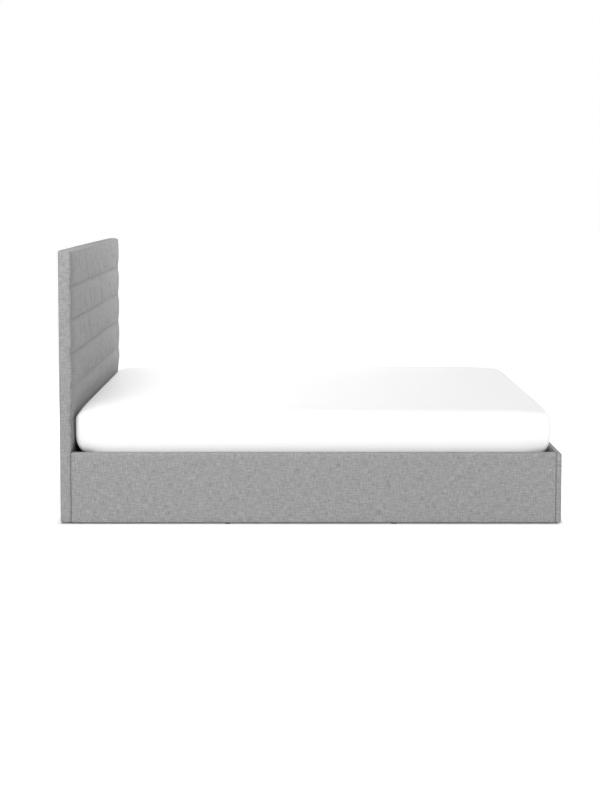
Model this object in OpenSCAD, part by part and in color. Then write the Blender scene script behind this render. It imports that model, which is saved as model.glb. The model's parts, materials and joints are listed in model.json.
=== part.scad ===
// Ottoman storage bed with an end-lift slatted platform, upholstered
// headboard, side rails and foot panel, and a mattress.
// X runs from the headboard (low) to the foot (high), Y across, Z up.
// Every module is drawn with X = 0 at the back of the headboard and is moved
// by bed() to the row frame, whose origin is on the floor under the centre.

/* [Overall] */
// Length over the headboard and the foot panel
bed_l = 2100; // [2090:1:2140]
// Width over the upholstered side rails
bed_w = 1600; // [1596:1:1620]
// Height of the headboard above the floor
head_h = 1146; // [1060:1:1300]
// Height of the side rails and the foot panel above the floor
rail_h = 300; // [296:1:330]
// Height of the plastic glides under the base
glide_h = 4; // [3:1:5]

/* [Headboard] */
// Depth of the headboard's side face
head_d = 46; // [46:1:52]
// How far the padded channels stand out in front of the side face
channel_bulge = 10; // [6:1:10]
// Height of the top channel
channel_top = 149; // [140:1:155]
// Height of each channel below it
channel_pitch = 141; // [135:1:141]

/* [Rails] */
// Thickness of the foot panel with its cover
foot_t = 23; // [21:1:23]
// Thickness of the board inside each side rail
rail_core_t = 22; // [18:1:22]
// Thickness of the padded cover on the outside of a rail
rail_pad = 6; // [4:1:6]

/* [Mattress] */
// Width of the mattress
matt_w = 1500; // [1480:5:1504]
// Thickness of the mattress
matt_t = 214; // [180:2:214]
// Radius of the mattress's top end edges
matt_r = 38; // [36:1:44]

/* [Platform] */
// Height of the lifting frame's tubes
tube_h = 40; // [36:1:40]
// Width of the lifting frame's tubes
tube_w = 30; // [26:1:30]
// Wall of the lifting frame's tubes
tube_wall = 2; // [1.5:0.5:3]
// Slats in each of the two rows
slats = 15; // [12:1:16]
// Width of a slat
slat_w = 63; // [50:1:68]
// Thickness of a slat
slat_t = 8; // [8:0.5:9]
// Rise of a slat's crown over its ends
slat_crown = 8; // [4:1:8]

/* [Lift mechanism] */
// Thickness of the lift's base plate and of the top bracket
plate_t = 4; // [3:0.5:4]
// Thickness of the lift arms
arm_t = 5; // [4:0.5:5]
// Radius of the main pivot pins
pin_r = 5; // [4:0.5:5]
// Radius of the gas strut's cylinder
strut_r = 11; // [9:0.5:11]
// Radius of the gas strut's rod
rod_r = 5; // [4:0.5:5]

/* [Hidden] */
$fn = 48;
// pivots of one lift side, as X and Z
PA = [368, 60];    // rear arm on the base plate
PB = [769, 65];    // front arm on the base plate
PC = [290, 238];   // rear arm on the top bracket
PD = [468, 218];   // front arm's pin in the top bracket's slot
PF = [465, 55];    // gas strut on the base plate
PG = [607, 236];   // gas strut on the front arm
slot_a = 3;        // the slot's slope
slot_run = 13.7;   // travel of the front arm's pin along the slot
slot_drop = 1.06;  // the slot's centreline lies this far under the pin at rest
run = 0.06;        // radial clearance of a pivot

w2 = bed_w / 2;
y_in = w2 - rail_pad - rail_core_t;   // inner face of a rail's board
x_foot = bed_l - foot_t;              // inner face of the foot panel
z0 = glide_h;
x_m0 = head_d + 14;                   // head end of the mattress
x_m1 = x_foot - 17;                   // foot end of the mattress
z_tube = 202;                         // underside of the lifting frame
z_top = z_tube + tube_h;
y_t1 = 730; y_t0 = y_t1 - tube_w;     // a side tube's faces
x_t0 = 72; x_t1 = x_foot - 19;        // the lifting frame's ends
z_m = z_top + 22;                     // underside of the mattress
seam_z = [for (i = [0:4]) head_h - channel_top - i * channel_pitch];
z_flat = rail_h + 4;                  // the channels end here, above the rails
y_strut = y_in - 26;                  // the gas strut's plane
strut_v = PG - PF;
strut_l = norm(strut_v);
strut_ang = atan2(strut_v[1], strut_v[0]);
plate_bolts = [[418, 105], [530, 105], [618, 105], [792, 108], [540, 50], [640, 50], [700, 48]];
rest_x = [1250, 1900];
slat_x = [for (i = [0:slats - 1]) 145 + i * (x_t1 - 75 - 145) / (slats - 1)];

// ---- helpers -------------------------------------------------------------
module bed() { translate([-bed_l / 2, 0, 0]) children(); }
module left() { bed() children(); }
module right() { bed() mirror([0, 1, 0]) children(); }
module both() { bed() { children(); mirror([0, 1, 0]) children(); } }
// a block from its low corner to its high corner
module blk(a, b) { translate(a) cube(b - a); }
// a flat plate drawn in X and Z, from y to y + t
module plate(y, t) { translate([0, y + t, 0]) rotate([90, 0, 0]) linear_extrude(t) children(); }
// a round bar along Y at a pivot, from y to y + t
module cyl_y(p, y, t, r) { translate([p[0], y, p[1]]) rotate([-90, 0, 0]) cylinder(h = t, r = r); }
// a hexagonal nut along Y
module hex_y(p, y, t, af) { translate([p[0], y, p[1]]) rotate([-90, 0, 0]) cylinder(h = t, r = af / sqrt(3), $fn = 6); }
// outline of a straight bar with round ends
module bar(p, q, r) {
  v = q - p; a = atan2(v[1], v[0]);
  translate(p) rotate(a) { translate([0, -r]) square([norm(v), 2 * r]); circle(r = r); translate([norm(v), 0]) circle(r = r); }
}
// a rectangle with round corners
module rrect(a, b, r) {
  translate(a + [r, 0]) square(b - a - [2 * r, 0]);
  translate(a + [0, r]) square(b - a - [0, 2 * r]);
  for (x = [a[0] + r, b[0] - r], y = [a[1] + r, b[1] - r]) translate([x, y]) circle(r = r);
}
// a bolt along Y: dome head's underside at y, the shank towards +Y
module bolt_y(p, y, l, r, hr) {
  cyl_y(p, y, l, r);
  difference() { cyl_y(p, y - 5, 5, hr); hex_y(p, y - 5.5, 3, r * 1.2); }
}
// bolts of the corners: along Y in the rails and along X in the end panels
corner_z_rail = [72, 228];
corner_z_end = [96, 204];

// ---- headboard -----------------------------------------------------------
module headboard_frame() color("burlywood") bed() difference() {
  union() {
    for (s = [-1, 1]) blk([2, s > 0 ? w2 - 95 : -w2 + 5, z0 + 6], [30, s > 0 ? w2 - 5 : -w2 + 95, head_h - 9]);
    for (z = [z0 + 6, 330, 660, head_h - 79]) blk([2, -w2 + 95, z], [30, w2 - 95, z + 70]);
  }
  for (s = [-1, 1], z = corner_z_end) translate([0, s * (y_in - 20), z]) rotate([0, 90, 0]) { cylinder(h = 60, r = 4.2); translate([0, 0, 2]) cylinder(h = 13, r = 5.3); cylinder(h = 4, r = 10.2); }
}
module headboard_panel() color("tan") bed() difference() {
  blk([30, -w2 + 5, z0 + 2], [36, w2 - 5, head_h - 5]);
  for (s = [-1, 1], z = corner_z_end) translate([20, s * (y_in - 20), z]) rotate([0, 90, 0]) cylinder(h = 40, r = 4.2);
}
// depth of a channel's front at a height between its two seams
function bulge(z, a, b) = head_d - 1 + (channel_bulge + 1) * pow(max(0, 1 - pow((2 * z - a - b) / (b - a), 4)), 0.5);
seams = concat([head_h - 1], seam_z, [z_flat]);
channel_pts = [for (i = [len(seams) - 2:-1:0]) for (k = [0:11]) let (a = seams[i + 1], b = seams[i], u = (1 - cos(180 * k / 12)) / 2, z = a + (b - a) * u) [bulge(z, a, b), z]];
module headboard_cover() color("darkgray") bed() difference() {
  union() {
    blk([0, -w2, z0], [head_d, w2, head_h]);
    translate([0, w2 - 8, 0]) rotate([90, 0, 0]) linear_extrude(bed_w - 16)
      polygon(concat([[36, z_flat]], channel_pts, [[head_d - 1, head_h - 1], [36, head_h - 1]]));
  }
  blk([-1, -w2 + 5, z0 + 2], [36, w2 - 5, head_h - 5]);
  for (s = [-1, 1], z = corner_z_end) translate([20, s * (y_in - 20), z]) rotate([0, 90, 0]) cylinder(h = 60, r = 4.2);
}
module headboard_back_lining() color("dimgray") bed() blk([0, -w2 + 5.2, z0 + 2.2], [1.8, w2 - 5.2, head_h - 5.2]);

// ---- side rails ----------------------------------------------------------
module rail_holes(y, l, r) {
  for (p = plate_bolts) cyl_y(p, y, l, r);
  for (x = [75, x_foot - 29], z = corner_z_rail) cyl_y([x, z], y, l, r);
  for (x = rest_x, dx = [16, 44]) cyl_y([x + dx, 160], y, l, r);
}
module rail_board() difference() {
  blk([head_d, y_in, z0 + 2], [x_foot, y_in + rail_core_t, rail_h - 5]);
  rail_holes(y_in - 1, rail_core_t + 2, 4.2);
  rail_holes(y_in + rail_core_t - 12, 13, 5.3);
  rail_holes(y_in + rail_core_t - 2, 3, 10.2);
}
module rail_cover() translate([x_foot, 0, 0]) rotate([0, -90, 0]) linear_extrude(x_foot - head_d) difference() {
  // drawn with X as height and Y as depth
  union() {
    rrect([z0, y_in - 1.5], [rail_h, w2], 7);
    translate([z0, y_in - 1.5]) square([20, 12]);
  }
  translate([z0 + 2, y_in]) square([rail_h - z0 - 7, rail_core_t]);
  translate([z0 + 24, y_in - 3]) square([rail_h - z0 - 60, 4]);
}
module side_rail_right_board() color("tan") right() rail_board();
module side_rail_left_board() color("tan") left() rail_board();
module side_rail_right_cover() color("darkgray") right() rail_cover();
module side_rail_left_cover() color("darkgray") left() rail_cover();

// ---- foot panel ----------------------------------------------------------
module foot_panel_board() color("tan") bed() difference() {
  blk([x_foot + 4, -w2 + 5, z0 + 2], [bed_l - 4, w2 - 5, rail_h - 5]);
  for (s = [-1, 1], z = corner_z_end) translate([x_foot, s * (y_in - 20), z]) rotate([0, 90, 0]) { cylinder(h = 30, r = 4.2); translate([0, 0, 8]) cylinder(h = 20, r = 5.3); translate([0, 0, foot_t - 6]) cylinder(h = 6, r = 10.2); }
}
module foot_panel_cover() color("darkgray") bed() difference() {
  translate([0, w2, 0]) rotate([90, 0, 0]) linear_extrude(bed_w) rrect([x_foot, z0], [bed_l, rail_h], 6);
  blk([x_foot + 4, -w2 + 5, z0 + 2], [bed_l - 4, w2 - 5, rail_h - 5]);
  blk([x_foot - 1, -y_in + 48, z0 + 28], [x_foot + 5, y_in - 48, rail_h - 40]);
  for (s = [-1, 1], z = corner_z_end) translate([x_foot - 1, s * (y_in - 20), z]) rotate([0, 90, 0]) cylinder(h = 6, r = 4.2);
}

// ---- corner fittings -----------------------------------------------------
module corner_bracket() difference() {
  union() {
    blk([head_d, y_in - 40, 50], [head_d + 3, y_in, 250]);
    blk([head_d, y_in - 3, 50], [head_d + 50, y_in, 250]);
  }
  for (z = corner_z_end) translate([head_d - 1, y_in - 20, z]) rotate([0, 90, 0]) cylinder(h = 6, r = 4.2);
  for (z = corner_z_rail) cyl_y([75, z], y_in - 4, 6, 4.2);
}
// the foot's brackets are the head's, turned round; they lie on the padded rim
module corners() both() { children(); translate([x_foot + head_d, 0, 0]) mirror([1, 0, 0]) children(); }
module corner_brackets() color("silver") corners() corner_bracket();
module corner_bolts() color("gainsboro") both() {
  for (x = [75, x_foot - 29], z = corner_z_rail) bolt_y([x, z], y_in - 3, 23, 4, 7);
  for (z = corner_z_end) {
    translate([head_d + 3, y_in - 20, z]) rotate([0, 90, 0]) { translate([0, 0, -44]) cylinder(h = 44, r = 4); difference() { cylinder(h = 5, r = 7); translate([0, 0, 2.5]) cylinder(h = 3, r = 4.8, $fn = 6); } }
    translate([x_foot - 3, y_in - 20, z]) rotate([0, 90, 0]) { cylinder(h = 18, r = 4); translate([0, 0, -5]) difference() { cylinder(h = 5, r = 7); translate([0, 0, -0.5]) cylinder(h = 3, r = 4.8, $fn = 6); } }
  }
}
module tee_y(p) difference() {
  union() { cyl_y(p, y_in + rail_core_t - 12, 12, 5.2); cyl_y(p, y_in + rail_core_t - 1.8, 1.8, 10); }
  cyl_y(p, y_in, rail_core_t + 1, 4.06);
}
module tee_nuts() color("silver") both() {
  for (p = plate_bolts) tee_y(p);
  for (x = [75, x_foot - 29], z = corner_z_rail) tee_y([x, z]);
  for (x = rest_x, dx = [16, 44]) tee_y([x + dx, 160]);
  for (z = corner_z_end) {
    translate([0, y_in - 20, z]) rotate([0, 90, 0]) difference() { union() { translate([0, 0, 2]) cylinder(h = 12.8, r = 5.2); translate([0, 0, 2]) cylinder(h = 1.8, r = 10); } translate([0, 0, 1]) cylinder(h = 15, r = 4.06); }
    translate([bed_l - 4, y_in - 20, z]) rotate([0, 90, 0]) difference() { union() { translate([0, 0, -10]) cylinder(h = 9.8, r = 5.2); translate([0, 0, -1.9]) cylinder(h = 1.7, r = 10); } translate([0, 0, -11]) cylinder(h = 12, r = 4.06); }
  }
}

// ---- storage floor -------------------------------------------------------
module floor_battens() color("burlywood") both() blk([head_d + 6, y_in - 24, 12], [x_foot - 6, y_in - 2, 32]);
module floor_centre_beam() color("burlywood") bed() difference() {
  blk([head_d + 1, -22, z0], [x_foot - 1, 22, 32]);
  for (x = [400, 1050, 1700]) translate([x, 0, z0 - 1]) cylinder(h = 7, r = 4.1);
}
module floor_board(a, b) bed() blk([a, -y_in + 6, 32], [b, y_in - 6, 38]);
module storage_floor_head() color("dimgray") floor_board(head_d + 4, 722);
module storage_floor_middle() color("dimgray") floor_board(723, 1399);
module storage_floor_foot() color("dimgray") floor_board(1400, x_foot - 4);
module glide(x, y, z) translate([x, y, 0]) { cylinder(h = z - 1, r = 13); cylinder(h = z, r = 11); }
module foot_glide(x, y, z) translate([x, y, 0]) cylinder(h = z, r = 10);
module glides() color("black") bed() {
  for (s = [-1, 1]) { glide(23, s * (w2 - 60), z0); foot_glide(x_foot + foot_t / 2, s * (w2 - 60), z0); for (x = [700, 1400]) glide(x, s * (y_in + 14), z0); }
  for (x = [400, 1050, 1700]) { glide(x, 0, z0); translate([x, 0, z0]) cylinder(h = 5, r = 4); }
}

// ---- lift: fixed parts ---------------------------------------------------
module base_plate() difference() {
  plate(y_in - plate_t, plate_t) rrect([335, 35], [812, 125], 12);
  for (p = plate_bolts) cyl_y(p, y_in - plate_t - 1, plate_t + 2, 4.2);
  for (p = [PA, PB]) cyl_y(p, y_in - plate_t - 1, plate_t + 2, pin_r + run);
  cyl_y(PF, y_in - plate_t - 1, plate_t + 2, 4 + run);
}
module lift_base_plate_right() color("dimgray") right() base_plate();
module lift_base_plate_left() color("dimgray") left() base_plate();
module lift_base_bolts() color("gainsboro") both() {
  for (p = plate_bolts) bolt_y(p, y_in - plate_t, 24, 4, 7);
  for (x = rest_x, dx = [16, 44]) bolt_y([x + dx, 160], y_in - 3, 23, 4, 7);
}
y_arm = y_in - plate_t - 1 - arm_t;    // the arms' inner face
module lift_base_pins() color("gainsboro") both() {
  for (p = [PA, PB]) cyl_y(p, y_arm - 8, y_in - y_arm + 8, pin_r);
  cyl_y(PF, y_strut - 13, y_in - y_strut + 13, 4);
}
module lift_base_nuts() color("silver") both() {
  for (p = [PA, PB]) difference() { union() { cyl_y(p, y_arm - 2, 1.8, 11); hex_y(p, y_arm - 7.5, 5.5, 15); } cyl_y(p, y_arm - 9, 10, pin_r + run); }
  difference() { union() { cyl_y(PF, y_strut - 8, 1.6, 9); hex_y(PF, y_strut - 12.5, 4.5, 13); } cyl_y(PF, y_strut - 14, 9, 4 + run); }
}
module lift_spacers() color("white") both() {
  for (p = [PA, PB]) difference() { cyl_y(p, y_in - plate_t - 0.9, 0.8, 14); cyl_y(p, y_in - plate_t - 2, 3, pin_r + run); }
  difference() { cyl_y(PF, y_strut + 6.2, y_in - plate_t - y_strut - 6.3, 8); cyl_y(PF, y_strut, 30, 4 + run); }
}
module rest_brackets() color("dimgray") both() for (x = rest_x) difference() {
  union() {
    blk([x, y_in - 3, 130], [x + 60, y_in, 196.6]);
    blk([x, y_t0 - 3, 193.6], [x + 60, y_in, 196.6]);
  }
  for (dx = [16, 44]) cyl_y([x + dx, 160], y_in - 4, 6, 4.2);
}
module rest_pads() color("black") both() for (x = rest_x) translate([0, 0, 196.6]) linear_extrude(5.1) rrect([x + 5, y_t0 + 1], [x + 55, y_t1 - 1], 5);

// ---- lift: arms ----------------------------------------------------------
module rear_arm() difference() {
  plate(y_arm, arm_t) bar(PA, PC, 20);
  for (p = [PA, PC]) cyl_y(p, y_arm - 1, arm_t + 2, pin_r + run);
}
module rear_arm_right() color("dimgray") right() rear_arm();
module rear_arm_left() color("dimgray") left() rear_arm();
module front_arm() difference() {
  plate(y_arm, arm_t) { bar(PB, PD, 21); bar(PB, PG, 17); bar(PG, PD, 17); polygon([PB, PD, PG]); }
  cyl_y(PB, y_arm - 1, arm_t + 2, pin_r + run);
  cyl_y(PD, y_arm - 1, arm_t + 2, pin_r + run);
  cyl_y(PG, y_arm - 1, arm_t + 2, 4 + run);
}
module front_arm_right() color("dimgray") right() front_arm();
module front_arm_left() color("dimgray") left() front_arm();
// the slotted pivot's pin with its washer, and the gas strut's upper stud with its collar and cap
module front_arm_pins() {
  cyl_y(PD, y_arm - 12.4, arm_t + 12.4, pin_r);
  cyl_y(PD, y_arm + arm_t, 1.6, 9);
  cyl_y(PD, y_arm - 0.8, 0.8, 15);
  cyl_y(PD, y_arm - 7, 1.8, 12);
  hex_y(PD, y_arm - 12, 5, 15);
  cyl_y(PG, y_strut - 12, y_arm + arm_t - y_strut + 12, 4);
  cyl_y(PG, y_strut + 6.3, y_arm - y_strut - 6.3, 11);
  cyl_y(PG, y_strut - 8, 1.7, 11);
  hex_y(PG, y_strut - 12, 4, 13);
}
module front_arm_pins_right() color("gainsboro") right() front_arm_pins();
module front_arm_pins_left() color("gainsboro") left() front_arm_pins();

// ---- gas struts ----------------------------------------------------------
// along the strut: +X from the lower eye
module along_strut() translate([PF[0], y_strut, PF[1]]) rotate([0, -strut_ang, 0]) children();
module strut_cylinder() along_strut() difference() {
  union() {
    rotate([-90, 0, 0]) translate([0, 0, -6]) cylinder(h = 12, r = 10);
    rotate([0, 90, 0]) { translate([0, 0, 8]) cylinder(h = 8, r = 6); translate([0, 0, 15]) cylinder(h = strut_l - 42, r = strut_r); }
  }
  rotate([-90, 0, 0]) translate([0, 0, -8]) cylinder(h = 16, r = 4 + run);
  rotate([0, 90, 0]) { translate([0, 0, 20]) cylinder(h = strut_l - 42 - 17, r = 9.5); translate([0, 0, 30]) cylinder(h = strut_l, r = rod_r + 0.05); }
}
module strut_rod() along_strut() difference() {
  union() {
    translate([strut_l, 0, 0]) rotate([-90, 0, 0]) translate([0, 0, -6]) cylinder(h = 12, r = 12);
    rotate([0, 90, 0]) {
      translate([0, 0, 74]) cylinder(h = strut_l - 74 - 9, r = rod_r);
      translate([0, 0, 66]) cylinder(h = 12, r = 9.4);
      translate([0, 0, strut_l - 20]) cylinder(h = 12, r = 5.7);
    }
  }
  translate([strut_l, 0, 0]) rotate([-90, 0, 0]) translate([0, 0, -8]) cylinder(h = 16, r = 6.5);
}
module strut_cylinder_right() color("black") right() strut_cylinder();
module strut_cylinder_left() color("black") left() strut_cylinder();
module strut_rod_right() color("silver") right() strut_rod();
module strut_rod_left() color("silver") left() strut_rod();

// ---- platform: brackets --------------------------------------------------
y_tb = y_arm - 1 - plate_t;            // the top bracket's inner face
bracket_bolt_x = [285, 380, 475];
module slot_hole(y, t) {
  a = [PD[0] + slot_drop * sin(slot_a), PD[1] - slot_drop * cos(slot_a)];
  b = a - slot_run * [cos(slot_a), sin(slot_a)];
  hw = pin_r + slot_drop + 0.45;
  plate(y, t) bar(a, b, hw);
}
module top_bracket() difference() {
  union() {
    plate(y_tb, plate_t) rrect([258, z_tube - 4], [502, 262], 10);
    plate(y_tb, plate_t) translate([258, z_tube - 4]) square([244, 14]);
    blk([258, y_t0, z_tube - 4], [502, y_tb + plate_t, z_tube]);
  }
  cyl_y(PC, y_tb - 1, plate_t + 2, pin_r + run);
  slot_hole(y_tb - 1, plate_t + 2);
  for (x = bracket_bolt_x) translate([x, y_t0 + 15, z_tube - 6]) cylinder(h = 8, r = 4.2);
}
module lift_top_bracket_right() color("dimgray") right() top_bracket();
module lift_top_bracket_left() color("dimgray") left() top_bracket();
module top_bracket_bolts() color("gainsboro") both() for (x = bracket_bolt_x) translate([x, y_t0 + 15, z_tube - 4]) {
  cylinder(h = 16, r = 4);
  translate([0, 0, -5]) difference() { cylinder(h = 5, r = 7); translate([0, 0, -0.5]) cylinder(h = 3, r = 4.8, $fn = 6); }
  translate([0, 0, 6.1]) difference() { cylinder(h = 6.5, r = 13 / sqrt(3), $fn = 6); translate([0, 0, -1]) cylinder(h = 9, r = 4); }
}
module top_pivot_bolts() color("gainsboro") both() {
  cyl_y(PC, y_tb - 9, y_in - 4 - y_tb + 9, pin_r);
  cyl_y(PC, y_arm + arm_t + 0.1, 3, 9);
  difference() { cyl_y(PC, y_arm - 0.9, 0.8, 13); cyl_y(PC, y_arm - 2, 3, pin_r - 0.5); }
  cyl_y(PC, y_tb - 1.8, 1.8, 11);
  hex_y(PC, y_tb - 8, 6.2, 15);
}

// ---- platform: frame -----------------------------------------------------
module tube_x(x0, x1, y0, y1) difference() {
  blk([x0, y0, z_tube], [x1, y1, z_top]);
  blk([x0 - 1, y0 + tube_wall, z_tube + tube_wall], [x1 + 1, y1 - tube_wall, z_top - tube_wall]);
}
module tube_y(y0, y1, x0, x1) difference() {
  blk([x0, y0, z_tube], [x1, y1, z_top]);
  blk([x0 + tube_wall, y0 - 1, z_tube + tube_wall], [x1 - tube_wall, y1 + 1, z_top - tube_wall]);
}
module platform_side_tubes() color("gray") both() difference() {
  tube_x(x_t0, x_t1, y_t0, y_t1);
  for (x = bracket_bolt_x) translate([x, y_t0 + 15, z_tube - 1]) cylinder(h = 4, r = 4.2);
}
module platform_head_tube() color("gray") bed() tube_y(-y_t0, y_t0, x_t0, x_t0 + tube_w);
module platform_foot_tube() color("gray") bed() tube_y(-y_t0, y_t0, x_t1 - tube_w, x_t1);
module platform_centre_rail() color("gray") bed() tube_x(x_t0 + tube_w, x_t1 - tube_w, -20, 20);
module platform_cross_tubes() color("gray") both() for (x = [700, 1400]) tube_y(20, y_t0, x, x + tube_w);
module tube_end_caps() color("black") both() for (x = [x_t0, x_t1]) {
  s = x == x_t0 ? -1 : 1;
  blk([min(x, x + 3 * s), y_t0, z_tube], [max(x, x + 3 * s), y_t1, z_top]);
  blk([min(x, x - 14 * s), y_t0 + tube_wall + 0.1, z_tube + tube_wall + 0.1], [max(x, x - 14 * s), y_t1 - tube_wall - 0.1, z_top - tube_wall - 0.1]);
}

// ---- platform: slats -----------------------------------------------------
sl_y0 = 6; sl_y1 = y_t1 - 8;
sl_z = z_top + 4;
function slat_arc(y) = let (u = (y - sl_y0 - 32) / (sl_y1 - sl_y0 - 64)) sl_z + slat_crown * (u > 0 && u < 1 ? (1 - cos(360 * u)) / 2 : 0);
module slat(x) translate([x + slat_w / 2, 0, 0]) rotate([90, 0, -90]) linear_extrude(slat_w)
  polygon(concat([for (i = [0:24]) let (y = sl_y0 + (sl_y1 - sl_y0) * i / 24) [-y, slat_arc(y)]],
    [for (i = [24:-1:0]) let (y = sl_y0 + (sl_y1 - sl_y0) * i / 24) [-y, slat_arc(y) + slat_t]]));
module slats_right() color("wheat") right() for (x = slat_x) slat(x);
module slats_left() color("wheat") left() for (x = slat_x) slat(x);
module slat_end_holders() color("black") both() for (x = slat_x) difference() {
  blk([x - slat_w / 2 - 4, y_t1 - 34, z_top], [x + slat_w / 2 + 4, y_t1, z_top + 16]);
  blk([x - slat_w / 2 - 0.3, y_t1 - 35, sl_z - 0.3], [x + slat_w / 2 + 0.3, sl_y1 + 0.5, sl_z + slat_t + 0.4]);
}
module slat_centre_holders() color("black") bed() for (x = slat_x) difference() {
  blk([x - slat_w / 2 - 4, -32, z_top], [x + slat_w / 2 + 4, 32, z_top + 16]);
  for (s = [0, 1]) mirror([0, s, 0]) blk([x - slat_w / 2 - 0.3, sl_y0 - 0.5, sl_z - 0.3], [x + slat_w / 2 + 0.3, 33, sl_z + slat_t + 0.4]);
}

// ---- platform: strap and retainers ---------------------------------------
module mattress_retainers() color("gray") both() {
  blk([x_t1 - 26, 300, z_top], [x_m1 + 2, 400, z_top + 3]);
  translate([x_m1 + 0.4, 0, 0]) rotate([90, 0, 90]) linear_extrude(3) { rrect([290, z_top], [410, 345], 14); translate([290, z_top]) square([120, 30]); }
}
module pull_strap() color("dimgray") bed() {
  blk([x_m1 + 0.4, -20, z_top - 10], [x_m1 + 4.6, 20, 420]);
  blk([x_t1 + 0.2, -20, z_tube + 12], [x_m1 + 2, 20, z_top - 4]);
}

// ---- mattress ------------------------------------------------------------
// side outline with large round top edges and smaller bottom ones
module matt_side(i, rt, rb) {
  a = [x_m0 + i, z_m + i]; b = [x_m1 - i, z_m + matt_t - i];
  translate([a[0], a[1] + rb]) square([b[0] - a[0], b[1] - a[1] - rb - rt]);
  translate([a[0] + rb, a[1]]) square([b[0] - a[0] - 2 * rb, rb + 1]);
  translate([a[0] + rt, b[1] - rt - 1]) square([b[0] - a[0] - 2 * rt, rt + 1]);
  for (x = [a[0] + rb, b[0] - rb]) translate([x, a[1] + rb]) circle(r = rb);
  for (x = [a[0] + rt, b[0] - rt]) translate([x, b[1] - rt]) circle(r = rt);
}
module mattress_core() color("whitesmoke") bed() plate(-matt_w / 2 + 3.3, matt_w - 6.6) matt_side(3.3, matt_r - 3.3, 22);
module mattress_cover() color("white") bed() difference() {
  plate(-matt_w / 2, matt_w) matt_side(0, matt_r, 25);
  plate(-matt_w / 2 + 3, matt_w - 6) matt_side(3, matt_r - 3, 22);
  blk([x_m0 + 90, -matt_w / 2 + 90, z_m - 1], [x_m1 - 90, matt_w / 2 - 90, z_m + 5]);
}

headboard_frame();
headboard_panel();
headboard_cover();
headboard_back_lining();
side_rail_right_board();
side_rail_left_board();
side_rail_right_cover();
side_rail_left_cover();
foot_panel_board();
foot_panel_cover();
corner_brackets();
corner_bolts();
tee_nuts();
floor_battens();
floor_centre_beam();
storage_floor_head();
storage_floor_middle();
storage_floor_foot();
glides();
lift_base_plate_right();
lift_base_plate_left();
lift_base_bolts();
lift_base_pins();
lift_base_nuts();
lift_spacers();
rest_brackets();
rest_pads();
rear_arm_right();
rear_arm_left();
front_arm_right();
front_arm_left();
front_arm_pins_right();
front_arm_pins_left();
strut_cylinder_right();
strut_cylinder_left();
strut_rod_right();
strut_rod_left();
lift_top_bracket_right();
lift_top_bracket_left();
top_bracket_bolts();
top_pivot_bolts();
platform_side_tubes();
platform_head_tube();
platform_foot_tube();
platform_centre_rail();
platform_cross_tubes();
tube_end_caps();
slats_right();
slats_left();
slat_end_holders();
slat_centre_holders();
mattress_retainers();
pull_strap();
mattress_core();
mattress_cover();
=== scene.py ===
"""Ottoman storage bed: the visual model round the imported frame."""
import json
import math

import bpy
import numpy as np
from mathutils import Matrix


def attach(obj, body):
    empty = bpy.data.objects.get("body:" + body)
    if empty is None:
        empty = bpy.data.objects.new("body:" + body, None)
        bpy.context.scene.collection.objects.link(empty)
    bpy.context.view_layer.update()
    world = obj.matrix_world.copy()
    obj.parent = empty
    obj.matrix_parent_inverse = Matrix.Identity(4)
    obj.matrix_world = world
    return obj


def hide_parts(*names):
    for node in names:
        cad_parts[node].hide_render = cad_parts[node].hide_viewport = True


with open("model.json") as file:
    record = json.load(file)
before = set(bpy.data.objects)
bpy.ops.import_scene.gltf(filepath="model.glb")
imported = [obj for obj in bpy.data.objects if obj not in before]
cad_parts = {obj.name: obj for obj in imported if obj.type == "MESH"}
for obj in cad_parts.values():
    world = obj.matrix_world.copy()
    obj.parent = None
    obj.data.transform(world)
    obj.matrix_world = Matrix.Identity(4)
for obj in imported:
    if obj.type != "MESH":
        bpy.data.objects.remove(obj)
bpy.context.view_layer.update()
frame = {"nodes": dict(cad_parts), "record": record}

NODES = frame["nodes"]
scene = bpy.context.scene

# Pieces are worked out in millimetres with X = 0 at the headboard's back, as the CAD is,
# and are moved to the row frame when their mesh is made.
SHIFT = np.array([-1050.0, 0.0, 0.0])
W2, HEAD_H, RAIL_H, Z0 = 800.0, 1146.0, 300.0, 4.0
HEAD_D, X_FOOT, BED_L, Y_IN = 46.0, 2077.0, 2100.0, 772.0
SEAMS = [997.0, 856.0, 715.0, 574.0, 433.0]
Z_FLAT = 304.0
MX0, MX1, MY, MZ0, MZ1 = 60.0, 2060.0, 750.0, 264.0, 478.0


# ---------------------------------------------------------------- camera
cam_data = bpy.data.cameras.new("camera")
cam = bpy.data.objects.new("camera", cam_data)
scene.collection.objects.link(cam)
cam_data.sensor_width = 36.0
cam_data.lens = 63.63
cam_data.shift_x = 0.00657
cam_data.shift_y = -0.1375
cam_data.clip_start, cam_data.clip_end = 0.05, 200.0
cam.location = (-0.0703, -6.6507, 1.3829)
cam.rotation_euler = (math.radians(86.092), 0.0, -0.0005)
scene.camera = cam


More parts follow.
